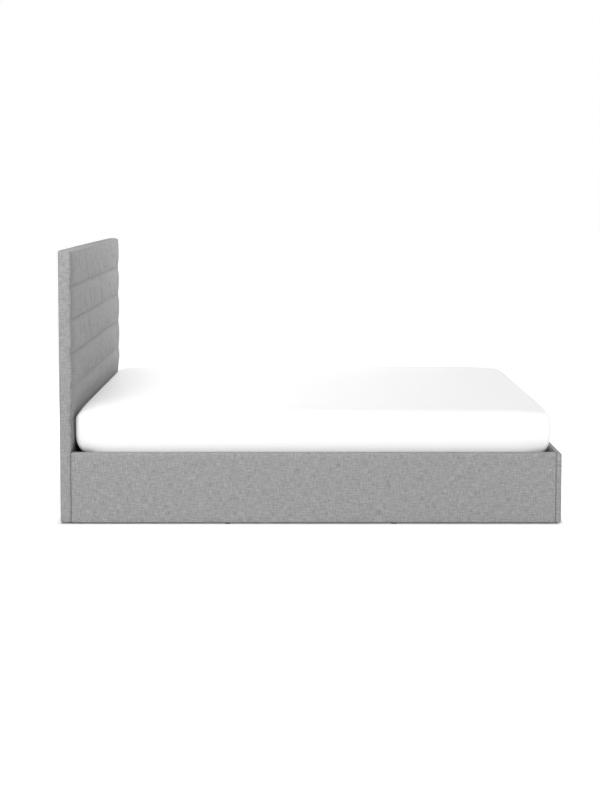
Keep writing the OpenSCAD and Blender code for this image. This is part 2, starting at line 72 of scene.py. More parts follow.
# ---------------------------------------------------------------- light and floor
def make_world(strength):
    world = bpy.data.worlds.new("studio")
    scene.world = world
    world.use_nodes = True
    nt = world.node_tree
    nt.nodes.clear()
    out = nt.nodes.new("ShaderNodeOutputWorld")
    lit = nt.nodes.new("ShaderNodeBackground")
    seen = nt.nodes.new("ShaderNodeBackground")
    mix = nt.nodes.new("ShaderNodeMixShader")
    path = nt.nodes.new("ShaderNodeLightPath")
    # its strength goes from the first value at the horizon to the second overhead
    way = nt.nodes.new("ShaderNodeSeparateXYZ")
    nt.links.new(nt.nodes.new("ShaderNodeTexCoord").outputs["Generated"], way.inputs[0])
    ramp = nt.nodes.new("ShaderNodeMapRange")
    for k, v in enumerate((0.0, 1.0, strength[0], strength[1])):
        ramp.inputs[k + 1].default_value = v
    nt.links.new(way.outputs[2], ramp.inputs[0])
    lit.inputs["Color"].default_value = (1.0, 1.0, 1.0, 1.0)
    nt.links.new(ramp.outputs[0], lit.inputs["Strength"])
    seen.inputs["Color"].default_value = (1.0, 1.0, 1.0, 1.0)
    seen.inputs["Strength"].default_value = 1.0
    nt.links.new(path.outputs["Is Camera Ray"], mix.inputs[0])
    nt.links.new(lit.outputs[0], mix.inputs[1])
    nt.links.new(seen.outputs[0], mix.inputs[2])
    nt.links.new(mix.outputs[0], out.inputs["Surface"])


def sun(name, towards, strength, angle):
    data = bpy.data.lights.new(name, "SUN")
    data.energy = strength
    data.angle = math.radians(angle)
    ob = bpy.data.objects.new(name, data)
    scene.collection.objects.link(ob)
    v = np.array(towards, float)
    v /= np.linalg.norm(v)
    from mathutils import Vector

    ob.rotation_mode = "QUATERNION"
    ob.rotation_quaternion = Vector(v).to_track_quat("Z", "Y")
    ob.location = v * 6.0
    return ob


def softbox(name, at, aim, size, power):
    from mathutils import Vector

    data = bpy.data.lights.new(name, "AREA")
    data.shape = "RECTANGLE"
    data.size, data.size_y = size
    data.energy = power
    ob = bpy.data.objects.new(name, data)
    scene.collection.objects.link(ob)
    ob.location = at
    ob.rotation_mode = "QUATERNION"
    ob.rotation_quaternion = (Vector(at) - Vector(aim)).to_track_quat("Z", "Y")
    ob.visible_camera = False
    return ob


make_world((0.03, 0.03))
sun("soft_key", (0.25, 0.85, 0.46), 1.55, 50.0)
sun("soft_fill", (-0.45, -0.80, 0.39), 0.86, 60.0)
sun("soft_front", (0.05, -0.93, 0.37), 1.30, 60.0)
sun("soft_top", (0.0, 0.0, 1.0), 0.38, 50.0)
softbox("soft_front_box", (0.15, -2.9, 2.7), (0.15, -0.8, 0.6), (3.4, 1.4), 19.0)
softbox("soft_far_box", (-0.6, 2.3, 1.3), (-1.0, 0.6, 0.9), (1.2, 1.2), 24.0)
softbox("soft_over_box", (-0.2, 1.8, 2.6), (-1.0, 0.4, 0.6), (1.6, 1.2), 12.0)
softbox("soft_high_box", (-1.35, -1.5, 2.35), (-1.05, -0.8, 1.05), (0.6, 0.6), 17.0)
softbox("soft_end_box", (2.9, -0.6, 1.2), (0.9, 0.0, 0.4), (1.4, 1.0), 10.0)
scene.view_settings.view_transform = "Standard"
scene.view_settings.look = "None"
scene.view_settings.exposure = 0.0
scene.view_settings.gamma = 1.0


# ---------------------------------------------------------------- shader helpers
class Shader:
    """A small builder for one procedural material."""

    def __init__(self, name):
        self.mat = bpy.data.materials.new(name)
        self.mat.use_nodes = True
        self.nt = self.mat.node_tree
        self.nt.nodes.clear()
        self.out = self.nt.nodes.new("ShaderNodeOutputMaterial")
        self.bsdf = self.nt.nodes.new("ShaderNodeBsdfPrincipled")
        self.nt.links.new(self.bsdf.outputs[0], self.out.inputs["Surface"])

    def node(self, kind, inputs=None, **props):
        n = self.nt.nodes.new("ShaderNode" + kind)
        for k, v in props.items():
            setattr(n, k, v)
        for k, v in (inputs or {}).items():
            self.put(n.inputs[k], v)
        return n

    def put(self, socket, value):
        if isinstance(value, bpy.types.NodeSocket):
            self.nt.links.new(value, socket)
        else:
            socket.default_value = value

    def math(self, op, a, b=None, c=None, clamp=False):
        n = self.nt.nodes.new("ShaderNodeMath")
        n.operation = op
        n.use_clamp = clamp
        for i, v in enumerate((a, b, c)):
            if v is not None:
                self.put(n.inputs[i], v)
        return n.outputs[0]

    def mix(self, fac, a, b, blend="MIX"):
        n = self.nt.nodes.new("ShaderNodeMix")
        n.data_type = "RGBA"
        n.blend_type = blend
        n.clamp_factor = True
        self.put(n.inputs[0], fac)
        self.put(n.inputs[6], a)
        self.put(n.inputs[7], b)
        return n.outputs[2]

    def xyz(self, vec):
        n = self.node("SeparateXYZ", {0: vec})
        return n.outputs[0], n.outputs[1], n.outputs[2]

    def vec(self, x, y, z=0.0):
        return self.node("CombineXYZ", {0: x, 1: y, 2: z}).outputs[0]

    def coords(self):
        """Object coordinates, in metres."""
        return self.node("TexCoord").outputs["Object"]

    def uv(self):
        return self.node("UVMap", uv_map="weave").outputs[0]

    def noise(self, vec, scale=1.0, detail=2.0, rough=0.5, dist=0.0):
        n = self.node("TexNoise", {"Vector": vec, "Scale": scale, "Detail": detail, "Roughness": rough, "Distortion": dist})
        return n.outputs[0]

    def white(self, vec):
        n = self.node("TexWhiteNoise", {"Vector": vec}, noise_dimensions="3D")
        return n.outputs[0]

    def range(self, value, a, b, c, d, clamp=True):
        n = self.node("MapRange", {0: value, 1: a, 2: b, 3: c, 4: d}, clamp=clamp)
        return n.outputs[0]

    def scaled(self, vec, s):
        n = self.node("VectorMath", {0: vec, 1: s}, operation="MULTIPLY")
        return n.outputs[0]

    def bump(self, height, distance, strength=1.0, normal=None):
        n = self.node("Bump", {"Height": height, "Distance": distance, "Strength": strength})
        if normal is not None:
            self.put(n.inputs["Normal"], normal)
        return n.outputs[0]

    def done(self, **sockets):
        for k, v in sockets.items():
            self.put(self.bsdf.inputs[k.replace("_", " ")], v)
        return self.mat


def rgb(r, g=None, b=None):
    if g is None:
        g = b = r
    return (r, g, b, 1.0)


def box_uv(s):
    """Two coordinates in the plane a face lies in, from object coordinates and the face's direction, in metres."""
    x, y, z = s.xyz(s.coords())
    nx, ny, nz = s.xyz(s.node("TexCoord").outputs["Normal"])
    ax, ay, az = (s.math("ABSOLUTE", n) for n in (nx, ny, nz))
    side = s.math("GREATER_THAN", ax, s.math("MAXIMUM", ay, az))
    top = s.math("GREATER_THAN", az, s.math("MAXIMUM", ax, ay))
    u = s.math("ADD", s.math("MULTIPLY", side, y), s.math("MULTIPLY", s.math("SUBTRACT", 1.0, side), x))
    v = s.math("ADD", s.math("MULTIPLY", top, y), s.math("MULTIPLY", s.math("SUBTRACT", 1.0, top), z))
    return u, v


# ---------------------------------------------------------------- fabrics
def woven(name, base, pitch, thread, fleck, mottle, bump, sheen, painted_shading_strength=0.0, rough=0.9, slub=0.0, slub_len=(9.0, 8.0)):
    """Plain weave whose threads differ a little from each other and along their length.

    pitch is a thread's width in metres; thread, fleck and mottle are how much threads, single crossings and
    larger patches differ in brightness; slub adds thicker, lighter places along a thread."""
    s = Shader(name)
    u, v, _ = s.xyz(s.uv())
    # the threads are never quite straight
    wob = s.noise(s.vec(u, v), scale=45.0, detail=1.0)
    u = s.math("ADD", u, s.math("MULTIPLY", s.math("SUBTRACT", wob, 0.5), pitch * 1.1))
    v = s.math("ADD", v, s.math("MULTIPLY", s.math("SUBTRACT", s.noise(s.vec(v, u, 3.0), scale=45.0, detail=1.0), 0.5), pitch * 1.1))
    us, vs = s.math("DIVIDE", u, pitch), s.math("DIVIDE", v, pitch)
    iu, iv = s.math("FLOOR", us), s.math("FLOOR", vs)
    parity = s.math("MODULO", s.math("ABSOLUTE", s.math("ADD", iu, iv)), 2.0)
    over = s.math("GREATER_THAN", parity, 0.5)
    hu = s.math("ABSOLUTE", s.math("SINE", s.math("MULTIPLY", us, math.pi)))
    hv = s.math("ABSOLUTE", s.math("SINE", s.math("MULTIPLY", vs, math.pi)))
    height = s.math("ADD", s.math("MULTIPLY", over, s.math("POWER", hu, 0.6)), s.math("MULTIPLY", s.math("SUBTRACT", 1.0, over), s.math("POWER", hv, 0.6)))
    # brightness along each warp and weft thread
    warp = s.noise(s.vec(s.math("MULTIPLY", iu, 7.31), s.math("DIVIDE", v, slub_len[1] * 0.001), 1.0), scale=1.0, detail=2.0, rough=0.6)
    weft = s.noise(s.vec(s.math("DIVIDE", u, slub_len[0] * 0.001), s.math("MULTIPLY", iv, 5.77), 2.0), scale=1.0, detail=2.0, rough=0.6)
    along = s.math("ADD", s.math("MULTIPLY", over, warp), s.math("MULTIPLY", s.math("SUBTRACT", 1.0, over), weft))
    along = s.math("MULTIPLY", s.math("SUBTRACT", along, 0.5), thread * 4.0)
    # thicker places run on over a few neighbouring threads
    slubs = s.math("ADD",
                   s.noise(s.vec(s.math("DIVIDE", u, 0.034), s.math("DIVIDE", v, 0.0042), 5.0), scale=1.0, detail=2.0, rough=0.6),
                   s.noise(s.vec(s.math("DIVIDE", u, 0.0042), s.math("DIVIDE", v, 0.030), 9.0), scale=1.0, detail=2.0, rough=0.6))
    slubs = s.math("MULTIPLY", s.math("SUBTRACT", slubs, 1.0), slub * 4.0)
    cell = s.math("MULTIPLY", s.math("SUBTRACT", s.white(s.vec(iu, iv)), 0.5), fleck * 2.0)
    patch = s.math("MULTIPLY", s.math("SUBTRACT", s.noise(s.vec(u, v, 4.0), scale=26.0, detail=3.0, rough=0.6), 0.5), mottle * 4.0)
    # painted shade: the colour is darker where the weave is lower, between the threads
    gap = s.math("MULTIPLY", s.math("SUBTRACT", height, 0.72), 0.35)
    total = s.math("ADD", s.math("ADD", s.math("ADD", along, cell), s.math("ADD", patch, gap)), s.math("ADD", slubs, 1.0))
    # painted shade, and painted highlight where the value is below zero: the per-point attribute on the mesh darkens
    # or lightens the colour
    if painted_shading_strength:
        painted_shading = s.node("Attribute", attribute_name="painted_shading").outputs["Fac"]
        total = s.math("MULTIPLY", total, s.math("SUBTRACT", 1.0, s.math("MULTIPLY", painted_shading, painted_shading_strength)))
    total = s.math("MAXIMUM", total, 0.05)
    colour = s.node("VectorMath", {0: (base[0], base[1], base[2]), "Scale": total}, operation="SCALE").outputs[0]
    n = s.bump(s.math("ADD", height, s.math("MULTIPLY", slubs, 2.0)), bump, 0.75)
    s.done(Base_Color=colour, Roughness=rough, Sheen_Weight=sheen, Sheen_Roughness=0.5, Specular_IOR_Level=0.18, Normal=n)
    s.bsdf.inputs["Sheen Tint"].default_value = rgb(0.9)
    return s.mat


def nonwoven(name, base):
    """Thin spun-bonded lining with its small embossed dots."""
    s = Shader(name)
    u, v, _ = s.xyz(s.uv())
    p = 0.0022
    du = s.math("SUBTRACT", s.math("FRACT", s.math("DIVIDE", s.math("ADD", u, v), p)), 0.5)
    dv = s.math("SUBTRACT", s.math("FRACT", s.math("DIVIDE", s.math("SUBTRACT", u, v), p)), 0.5)
    d = s.math("SQRT", s.math("ADD", s.math("MULTIPLY", du, du), s.math("MULTIPLY", dv, dv)))
    dot = s.range(d, 0.18, 0.3, 1.0, 0.0)
    fib = s.noise(s.vec(u, v), scale=900.0, detail=3.0, rough=0.7)
    cloud = s.noise(s.vec(u, v, 2.0), scale=16.0, detail=3.0)
    k = s.math("ADD", s.math("MULTIPLY", fib, 0.9), s.math("ADD", s.math("MULTIPLY", cloud, 0.5), s.math("MULTIPLY", dot, -0.3)))
    k = s.math("MAXIMUM", s.math("ADD", k, 0.35), 0.1)
    colour = s.node("VectorMath", {0: base, "Scale": k}, operation="SCALE").outputs[0]
    wrinkle = s.noise(s.vec(u, v, 7.0), scale=9.0, detail=3.0)
    h = s.math("ADD", s.math("MULTIPLY", dot, -0.15), s.math("ADD", s.math("MULTIPLY", fib, 0.3), s.math("MULTIPLY", wrinkle, 3.0)))
    return s.done(Base_Color=colour, Roughness=0.7, Specular_IOR_Level=0.3, Normal=s.bump(h, 0.0006, 0.7))


def webbing(name, base):
    s = Shader(name)
    u, v, _ = s.xyz(s.uv())
    rib = s.math("ABSOLUTE", s.math("SINE", s.math("MULTIPLY", s.math("ADD", v, s.math("MULTIPLY", s.math("ABSOLUTE", s.math("SUBTRACT", s.math("FRACT", s.math("DIVIDE", u, 0.008)), 0.5)), 0.004)), math.pi / 0.0016)))
    yarn = s.math("ABSOLUTE", s.math("SINE", s.math("MULTIPLY", u, math.pi / 0.001)))
    var = s.noise(s.vec(u, v), scale=260.0, detail=2.0)
    # painted shade: the colour is darker in the hollows between the ribs
    k = s.math("ADD", s.math("ADD", 0.45, s.math("MULTIPLY", rib, 0.5)), s.math("MULTIPLY", var, 0.4))
    colour = s.node("VectorMath", {0: base, "Scale": k}, operation="SCALE").outputs[0]
    h = s.math("ADD", rib, s.math("MULTIPLY", yarn, 0.3))
    return s.done(Base_Color=colour, Roughness=0.75, Sheen_Weight=0.15, Normal=s.bump(h, 0.0005, 0.8))


# ---------------------------------------------------------------- woods and boards
def softwood(name, base, dark):
    """Planed pine: rings as long streaks along the longer way of the piece, and pores."""
    s = Shader(name)
    co = s.coords()
    x, y, z = s.xyz(co)
    # streaks run along X and Y alike: the ring pattern is stretched by the largest coordinate direction
    u, v = box_uv(s)
    warp = s.noise(s.vec(u, v), scale=2.2, detail=2.0)
    r = s.math("ADD", s.math("MULTIPLY", v, 95.0), s.math("MULTIPLY", warp, 9.0))
    ring = s.math("FRACT", s.math("ADD", r, s.math("MULTIPLY", s.noise(s.vec(s.math("MULTIPLY", u, 3.0), s.math("MULTIPLY", v, 60.0), 2.0), scale=1.0, detail=2.0), 1.2)))
    late = s.range(ring, 0.55, 0.95, 0.0, 1.0)
    fibre = s.noise(s.vec(s.math("MULTIPLY", u, 26.0), s.math("MULTIPLY", v, 900.0), z), scale=1.0, detail=3.0, rough=0.7)
    c = s.mix(s.math("MULTIPLY", late, 0.75), base, dark)
    c = s.mix(s.math("MULTIPLY", s.range(fibre, 0.35, 0.7, 0.0, 1.0), 0.22), c, rgb(dark[0] * 0.7, dark[1] * 0.7, dark[2] * 0.7))
    h = s.math("ADD", s.math("MULTIPLY", late, 0.4), fibre)
    return s.done(Base_Color=c, Roughness=s.range(late, 0.0, 1.0, 0.62, 0.5), Specular_IOR_Level=0.3, Normal=s.bump(h, 0.0004, 0.5))


def chipboard(name, base, dark, light, scale=260.0):
    """Pressed wood particles, in three sizes."""
    s = Shader(name)
    co = s.coords()
    v1 = s.node("TexVoronoi", {"Vector": co, "Scale": scale}, feature="F1")
    v2 = s.node("TexVoronoi", {"Vector": s.scaled(co, (1.7, 1.1, 1.4)), "Scale": scale * 2.3}, feature="F1")
    tone = s.xyz(v1.outputs["Color"])[0]
    tone2 = s.xyz(v2.outputs["Color"])[1]
    c = s.mix(tone, base, dark)
    c = s.mix(s.math("MULTIPLY", s.math("GREATER_THAN", tone2, 0.62), 0.55), c, light)
    big = s.noise(co, scale=7.0, detail=3.0)
    c = s.mix(s.math("MULTIPLY", big, 0.25), c, dark)
    h = s.math("ADD", v1.outputs["Distance"], s.math("MULTIPLY", v2.outputs["Distance"], 0.5))
    return s.done(Base_Color=c, Roughness=0.72, Specular_IOR_Level=0.25, Normal=s.bump(h, 0.0005, 0.35))


def foiled_board(name, base):
    """Thin fibreboard with a dark printed-paper face and its fine even grain."""
    s = Shader(name)
    u, v = box_uv(s)
    g = s.noise(s.vec(s.math("MULTIPLY", u, 14.0), s.math("MULTIPLY", v, 420.0)), scale=1.0, detail=4.0, rough=0.65)
    g2 = s.noise(s.vec(u, v, 3.0), scale=900.0, detail=2.0)
    k = s.math("ADD", 0.72, s.math("ADD", s.math("MULTIPLY", g, 0.36), s.math("MULTIPLY", g2, 0.2)))
    scuff = s.range(s.noise(s.vec(u, v, 6.0), scale=5.0, detail=5.0, rough=0.65), 0.56, 0.72, 0.0, 0.12)
    colour = s.node("VectorMath", {0: base, "Scale": s.math("ADD", k, scuff)}, operation="SCALE").outputs[0]
    return s.done(Base_Color=colour, Roughness=s.range(g2, 0.0, 1.0, 0.45, 0.62), Specular_IOR_Level=0.4, Normal=s.bump(s.math("ADD", g, g2), 0.0002, 0.3))


def plywood_slat(name, face, dark):
    """Bent birch slat: calm grain along Y on the faces, the glued plies on the edges."""
    s = Shader(name)
    co = s.coords()
    x, y, z = s.xyz(co)
    n = s.node("TexCoord").outputs["Normal"]
    nz = s.math("ABSOLUTE", s.xyz(n)[2])
    slat_no = s.math("FLOOR", s.math("MULTIPLY", s.math("ADD", x, 2.0), 7.9))
    warp = s.noise(s.vec(s.math("MULTIPLY", x, 6.0), s.math("MULTIPLY", y, 1.1), slat_no), scale=1.0, detail=2.0)
    grain = s.noise(s.vec(s.math("ADD", s.math("MULTIPLY", x, 190.0), s.math("MULTIPLY", warp, 7.0)), s.math("MULTIPLY", y, 4.0), slat_no), scale=1.0, detail=4.0, rough=0.6)
    pores = s.noise(s.vec(s.math("MULTIPLY", x, 1500.0), s.math("MULTIPLY", y, 55.0), slat_no), scale=1.0, detail=2.0)
    tone = s.white(s.vec(slat_no, s.math("GREATER_THAN", y, 0.0)))
    c = s.mix(s.range(grain, 0.3, 0.72, 0.0, 0.75), face, dark)
    c = s.mix(s.math("MULTIPLY", s.range(pores, 0.58, 0.75, 0.0, 1.0), 0.3), c, rgb(dark[0] * 0.6, dark[1] * 0.6, dark[2] * 0.6))
    c = s.mix(s.math("MULTIPLY", tone, 0.18), c, rgb(0.83, 0.66, 0.46))
    # the edges: seven plies in 8 mm, alternately light and end-grain dark
    lift = s.math("MULTIPLY", s.math("SUBTRACT", 1.0, s.math("COSINE", s.math("MULTIPLY", s.math("SUBTRACT", s.math("ABSOLUTE", y), 0.038), 2 * math.pi / 0.652))), 0.004)
    inside = s.math("MULTIPLY", s.math("GREATER_THAN", s.math("ABSOLUTE", y), 0.038), s.math("LESS_THAN", s.math("ABSOLUTE", y), 0.690))
    zz = s.math("SUBTRACT", z, s.math("MULTIPLY", lift, inside))
    ply = s.math("FRACT", s.math("MULTIPLY", s.math("SUBTRACT", zz, 0.246), 1.0 / 0.00229))
    edge = s.mix(s.math("GREATER_THAN", ply, 0.5), rgb(0.66, 0.47, 0.28), rgb(0.42, 0.27, 0.14))
    c = s.mix(s.math("LESS_THAN", nz, 0.5), c, edge)
    h = s.math("ADD", s.math("MULTIPLY", grain, 0.5), s.math("MULTIPLY", pores, -0.4))
    return s.done(Base_Color=c, Roughness=s.range(grain, 0.3, 0.7, 0.36, 0.5), Specular_IOR_Level=0.45, Normal=s.bump(h, 0.0003, 0.35))


# ---------------------------------------------------------------- metals and plastics
def painted(name, base, rough, grit=900.0, peel=0.00018):
    """Powder coat: fine orange peel, a little dust in patches and paint worn thin on the edges."""
    s = Shader(name)
    co = s.coords()
    peel_n = s.noise(co, scale=grit, detail=2.0, rough=0.6)
    cloud = s.noise(co, scale=9.0, detail=4.0, rough=0.6)
    dust = s.range(cloud, 0.5, 0.8, 0.0, 0.16)
    c = s.mix(dust, base, rgb(0.32, 0.31, 0.30))
    edge = s.node("Bevel", {"Radius": 0.0011})
    geo = s.node("NewGeometry")
    dotp = s.node("VectorMath", {0: edge.outputs[0], 1: geo.outputs["True Normal"]}, operation="DOT_PRODUCT").outputs["Value"]
    worn = s.math("MULTIPLY", s.range(dotp, 0.80, 0.97, 1.0, 0.0), s.range(s.noise(co, scale=60.0, detail=4.0), 0.5, 0.7, 0.0, 0.5))
    c = s.mix(worn, c, rgb(base[0] * 2.2 + 0.06, base[1] * 2.2 + 0.06, base[2] * 2.2 + 0.06))
    r = s.range(cloud, 0.2, 0.8, rough - 0.06, rough + 0.12)
    return s.done(Base_Color=c, Roughness=r, Specular_IOR_Level=0.5, Normal=s.bump(peel_n, peel, 0.6, edge.outputs[0]))


def plated(name, base, rough, streak=0.5, spangle=True):
    """Zinc plate: cloudy bright metal with fine scratches."""
    s = Shader(name)
    co = s.coords()
    sp = s.node("TexVoronoi", {"Vector": co, "Scale": 320.0}, feature="F1")
    tone = s.xyz(sp.outputs["Color"])[0]
    cloud = s.noise(co, scale=40.0, detail=4.0, rough=0.65)
    k = s.math("ADD", 0.78, s.math("ADD", s.math("MULTIPLY", cloud, 0.35), s.math("MULTIPLY", tone, 0.12 if spangle else 0.02)))
    colour = s.node("VectorMath", {0: base, "Scale": k}, operation="SCALE").outputs[0]
    scratch = s.noise(s.scaled(co, (60.0, 900.0, 900.0)), scale=1.0, detail=3.0, rough=0.7)
    r = s.math("ADD", rough - 0.1, s.math("MULTIPLY", s.math("ADD", cloud, s.math("MULTIPLY", scratch, streak)), 0.18))
    edge = s.node("Bevel", {"Radius": 0.0005})
    return s.done(Base_Color=colour, Metallic=1.0, Roughness=r, Normal=s.bump(scratch, 0.00006, 0.5, edge.outputs[0]))


def chrome(name):
    s = Shader(name)
    co = s.coords()
    film = s.noise(s.scaled(co, (220.0, 40.0, 220.0)), scale=1.0, detail=3.0)
    c = s.mix(s.range(film, 0.3, 0.7, 0.0, 0.35), rgb(0.78, 0.79, 0.80), rgb(0.64, 0.65, 0.67))
    return s.done(Base_Color=c, Metallic=1.0, Roughness=s.range(film, 0.3, 0.7, 0.06, 0.16), Normal=s.bump(film, 0.00002, 0.4))


def gloss_paint(name, base):
    s = Shader(name)
    co = s.coords()
    haze = s.noise(co, scale=14.0, detail=4.0)
    fine = s.noise(co, scale=700.0, detail=2.0)
    c = s.mix(s.range(haze, 0.5, 0.85, 0.0, 0.12), base, rgb(0.2, 0.2, 0.2))
    return s.done(Base_Color=c, Roughness=s.range(haze, 0.2, 0.8, 0.16, 0.32), Specular_IOR_Level=0.5, Coat_Weight=0.3, Coat_Roughness=0.08, Normal=s.bump(fine, 0.00004, 0.4))


def plastic(name, base, rough, grain=1400.0, depth=0.00012):
    s = Shader(name)
    co = s.coords()
    spark = s.noise(co, scale=grain, detail=2.0)
    cloud = s.noise(co, scale=20.0, detail=3.0)
    c = s.mix(s.range(cloud, 0.45, 0.8, 0.0, 0.25), base, rgb(min(1.0, base[0] * 1.25 + 0.03), min(1.0, base[1] * 1.25 + 0.03), min(1.0, base[2] * 1.25 + 0.03)))
    edge = s.node("Bevel", {"Radius": 0.0008})
    return s.done(Base_Color=c, Roughness=s.range(cloud, 0.2, 0.8, rough - 0.06, rough + 0.08), Specular_IOR_Level=0.45, Normal=s.bump(spark, depth, 0.5, edge.outputs[0]))


GREY = (0.268, 0.268, 0.2705)
MATS = {
    "upholstery": woven("upholstery", GREY, 0.0019, 0.13, 0.10, 0.03, 0.00040, 0.12, painted_shading_strength=0.2, slub=0.215),
    "mattress_fabric": woven("mattress_fabric", (0.850, 0.852, 0.855), 0.0008, 0.012, 0.012, 0.003, 0.00012, 0.1, painted_shading_strength=0.12, rough=0.92),
    "ticking": woven("ticking", (0.79, 0.785, 0.76), 0.0011, 0.03, 0.02, 0.008, 0.0002, 0.12, painted_shading_strength=0.25, rough=0.9),
    "lining": nonwoven("lining", (0.035, 0.035, 0.038)),
    "webbing": webbing("webbing", (0.075, 0.075, 0.08)),
    "softwood": softwood("softwood", rgb(0.74, 0.54, 0.33), rgb(0.50, 0.30, 0.14)),
    "board": chipboard("board", rgb(0.55, 0.39, 0.23), rgb(0.33, 0.21, 0.11), rgb(0.78, 0.62, 0.42)),
    "floor_board": foiled_board("floor_board", (0.075, 0.074, 0.073)),
    "slat_birch": plywood_slat("slat_birch", rgb(0.80, 0.62, 0.42), rgb(0.64, 0.44, 0.26)),
    "black_steel": painted("black_steel", rgb(0.030, 0.030, 0.032), 0.46),
    "frame_steel": painted("frame_steel", rgb(0.085, 0.086, 0.090), 0.5, grit=600.0),
    "zinc_steel": plated("zinc_steel", (0.66, 0.67, 0.69), 0.38),
    "bolt_steel": plated("bolt_steel", (0.60, 0.60, 0.62), 0.30, spangle=False),
    "strut_black": gloss_paint("strut_black", rgb(0.012, 0.012, 0.013)),
    "strut_rod": chrome("strut_rod"),
    "black_plastic": plastic("black_plastic", rgb(0.020, 0.020, 0.021), 0.5),
    "white_nylon": plastic("white_nylon", rgb(0.80, 0.79, 0.76), 0.35, grain=500.0, depth=0.00005),
    "rubber": plastic("rubber", rgb(0.022, 0.022, 0.022), 0.72, grain=800.0, depth=0.0002),
}
SLOT = {p["node"]: p.get("material_slot") for p in frame["record"].get("subparts", [])}
SLOT_MAT = dict(MATS, foam=MATS["ticking"])
for name, ob in NODES.items():
    m = SLOT_MAT.get(SLOT.get(name))
    if m is not None:
        ob.data.materials.clear()
        ob.data.materials.append(m)


# ---------------------------------------------------------------- mesh helpers
def vnoise(x, y=0.0, seed=0):
    """Smooth value noise between -1 and 1, the same on every run."""
    x, y = np.broadcast_arrays(np.asarray(x, float), np.asarray(y, float))
    i, j = np.floor(x).astype(np.int64), np.floor(y).astype(np.int64)
    fx, fy = x - i, y - j
    fx, fy = fx * fx * (3 - 2 * fx), fy * fy * (3 - 2 * fy)

    def h(a, b):
        k = (a * 374761393 + b * 668265263 + seed * 2246822519) & 0xFFFFFFFF
        k = ((k ^ (k >> 13)) * 1274126177) & 0xFFFFFFFF
        k = (k ^ (k >> 16)) & 0xFFFFFFFF
        return k / 2147483647.5 - 1.0

    return (h(i, j) * (1 - fx) + h(i + 1, j) * fx) * (1 - fy) + (h(i, j + 1) * (1 - fx) + h(i + 1, j + 1) * fx) * fy


def fbm(x, y=0.0, seed=0, octaves=3):
    x, y = np.asarray(x, float), np.asarray(y, float)
    return sum(vnoise(x * 2**k, y * 2**k, seed + 17 * k) * 0.5**k for k in range(octaves)) / (2 - 0.5 ** (octaves - 1))


def smooth(t):
    t = np.clip(t, 0.0, 1.0)
    return t * t * (3 - 2 * t)


def lines(a, b, step, extra=(), keep_gap=0.5):
    """Sorted lattice lines from a to b, about step apart, which go through every extra line."""
    fixed = sorted({round(float(v), 4) for v in (a, b, *extra) if a - 1e-6 <= v <= b + 1e-6})
    base = np.linspace(a, b, max(1, int(math.ceil((b - a) / step))) + 1)
    f = np.array(fixed)
    gap = step * keep_gap
    base = [v for v in base if np.abs(f - v).min() > gap]
    return np.array(sorted(fixed + base))


def arc(edge, r, side, n=5):
    """Lines that split the rounding of an edge evenly; side is +1 where the piece lies above the edge."""
    t = np.tan(np.radians(np.linspace(0, 45, n + 1)))
    return [edge + side * (r - r * v) for v in t]


def lattice(xs, ys, zs):
    """The surface of a box as a grid: points, quads that face outwards, and each quad's side (-x +x -y +y -z +z)."""
    nx, ny, nz = len(xs), len(ys), len(zs)
    on = np.zeros((nx, ny, nz), bool)
    on[0] = on[-1] = True
    on[:, 0] = on[:, -1] = True
    on[:, :, 0] = on[:, :, -1] = True
    idx = -np.ones(on.shape, np.int64)
    idx[on] = np.arange(on.sum())
    X, Y, Z = np.meshgrid(xs, ys, zs, indexing="ij")
    P = np.stack([X[on], Y[on], Z[on]], 1)
    F, T = [], []
    for a, tag, flip in ((idx[0], 0, True), (idx[-1], 1, False), (idx[:, 0], 2, False), (idx[:, -1], 3, True), (idx[:, :, 0], 4, True), (idx[:, :, -1], 5, False)):
        q = np.stack([a[:-1, :-1], a[1:, :-1], a[1:, 1:], a[:-1, 1:]], -1).reshape(-1, 4)
        F.append(q[:, ::-1] if flip else q)
        T.append(np.full(len(q), tag))
    return P, np.concatenate(F), np.concatenate(T)


def rounded(P, lo, hi, rlo, rhi):
    """Rounds a box lattice's edges; each side has its own radius, so a corner is part of an ellipsoid."""
    lo, hi, rlo, rhi = (np.array(v, float) for v in (lo, hi, rlo, rhi))
    c = np.clip(P, lo + rlo, hi - rhi)
    d = P - c
    r = np.where(d < 0, rlo, rhi)
    r = np.where(r > 0, r, 1.0)
    u = d / r
    L = np.linalg.norm(u, axis=1)
    m = np.abs(u).max(1)
    s = np.where(L > 1e-9, m / np.maximum(L, 1e-9), 1.0)
    return c + u * s[:, None] * r


def shell(F, out, inn, hole, skip_inner=None):
    """Two skins, out and inn, joined round the quads marked as a hole. Returns points and polygons."""
    n = len(out)
    keep = ~hole
    fo = F[keep]
    fi = F[keep if skip_inner is None else keep & ~skip_inner][:, ::-1] + n

    def directed(q):
        return np.stack([q, np.roll(q, -1, axis=1)], -1).reshape(-1, 2)

    ek, eh = directed(F[keep]), directed(F[hole])
    edge = np.isin(ek[:, 0] * n + ek[:, 1], eh[:, 1] * n + eh[:, 0])
    e = ek[edge]
    br = np.stack([e[:, 1], e[:, 0], e[:, 0] + n, e[:, 1] + n], 1)
    V = np.concatenate([out, inn])
    return V, [fo, fi, br]


def weld(V, groups, extra=()):
    """Merges points that coincide and drops faces that have collapsed."""
    key = np.round(V, 3)
    uniq, first, inv = np.unique(key, axis=0, return_index=True, return_inverse=True)
    inv = inv.reshape(-1)
    polys, source = [], []
    for g, faces in enumerate(groups):
        for f in faces:
            p = []
            for i in inv[np.asarray(f)]:
                if not p or p[-1] != i:
                    p.append(int(i))
            if len(p) > 1 and p[0] == p[-1]:
                p.pop()
            if len(p) >= 3 and len(set(p)) == len(p):
                polys.append(p)
    for f in extra:
        p = [int(i) for i in inv[np.asarray(f)]]
        if len(set(p)) == len(p) and len(p) >= 3:
            polys.append(p)
    return V[first], polys, first


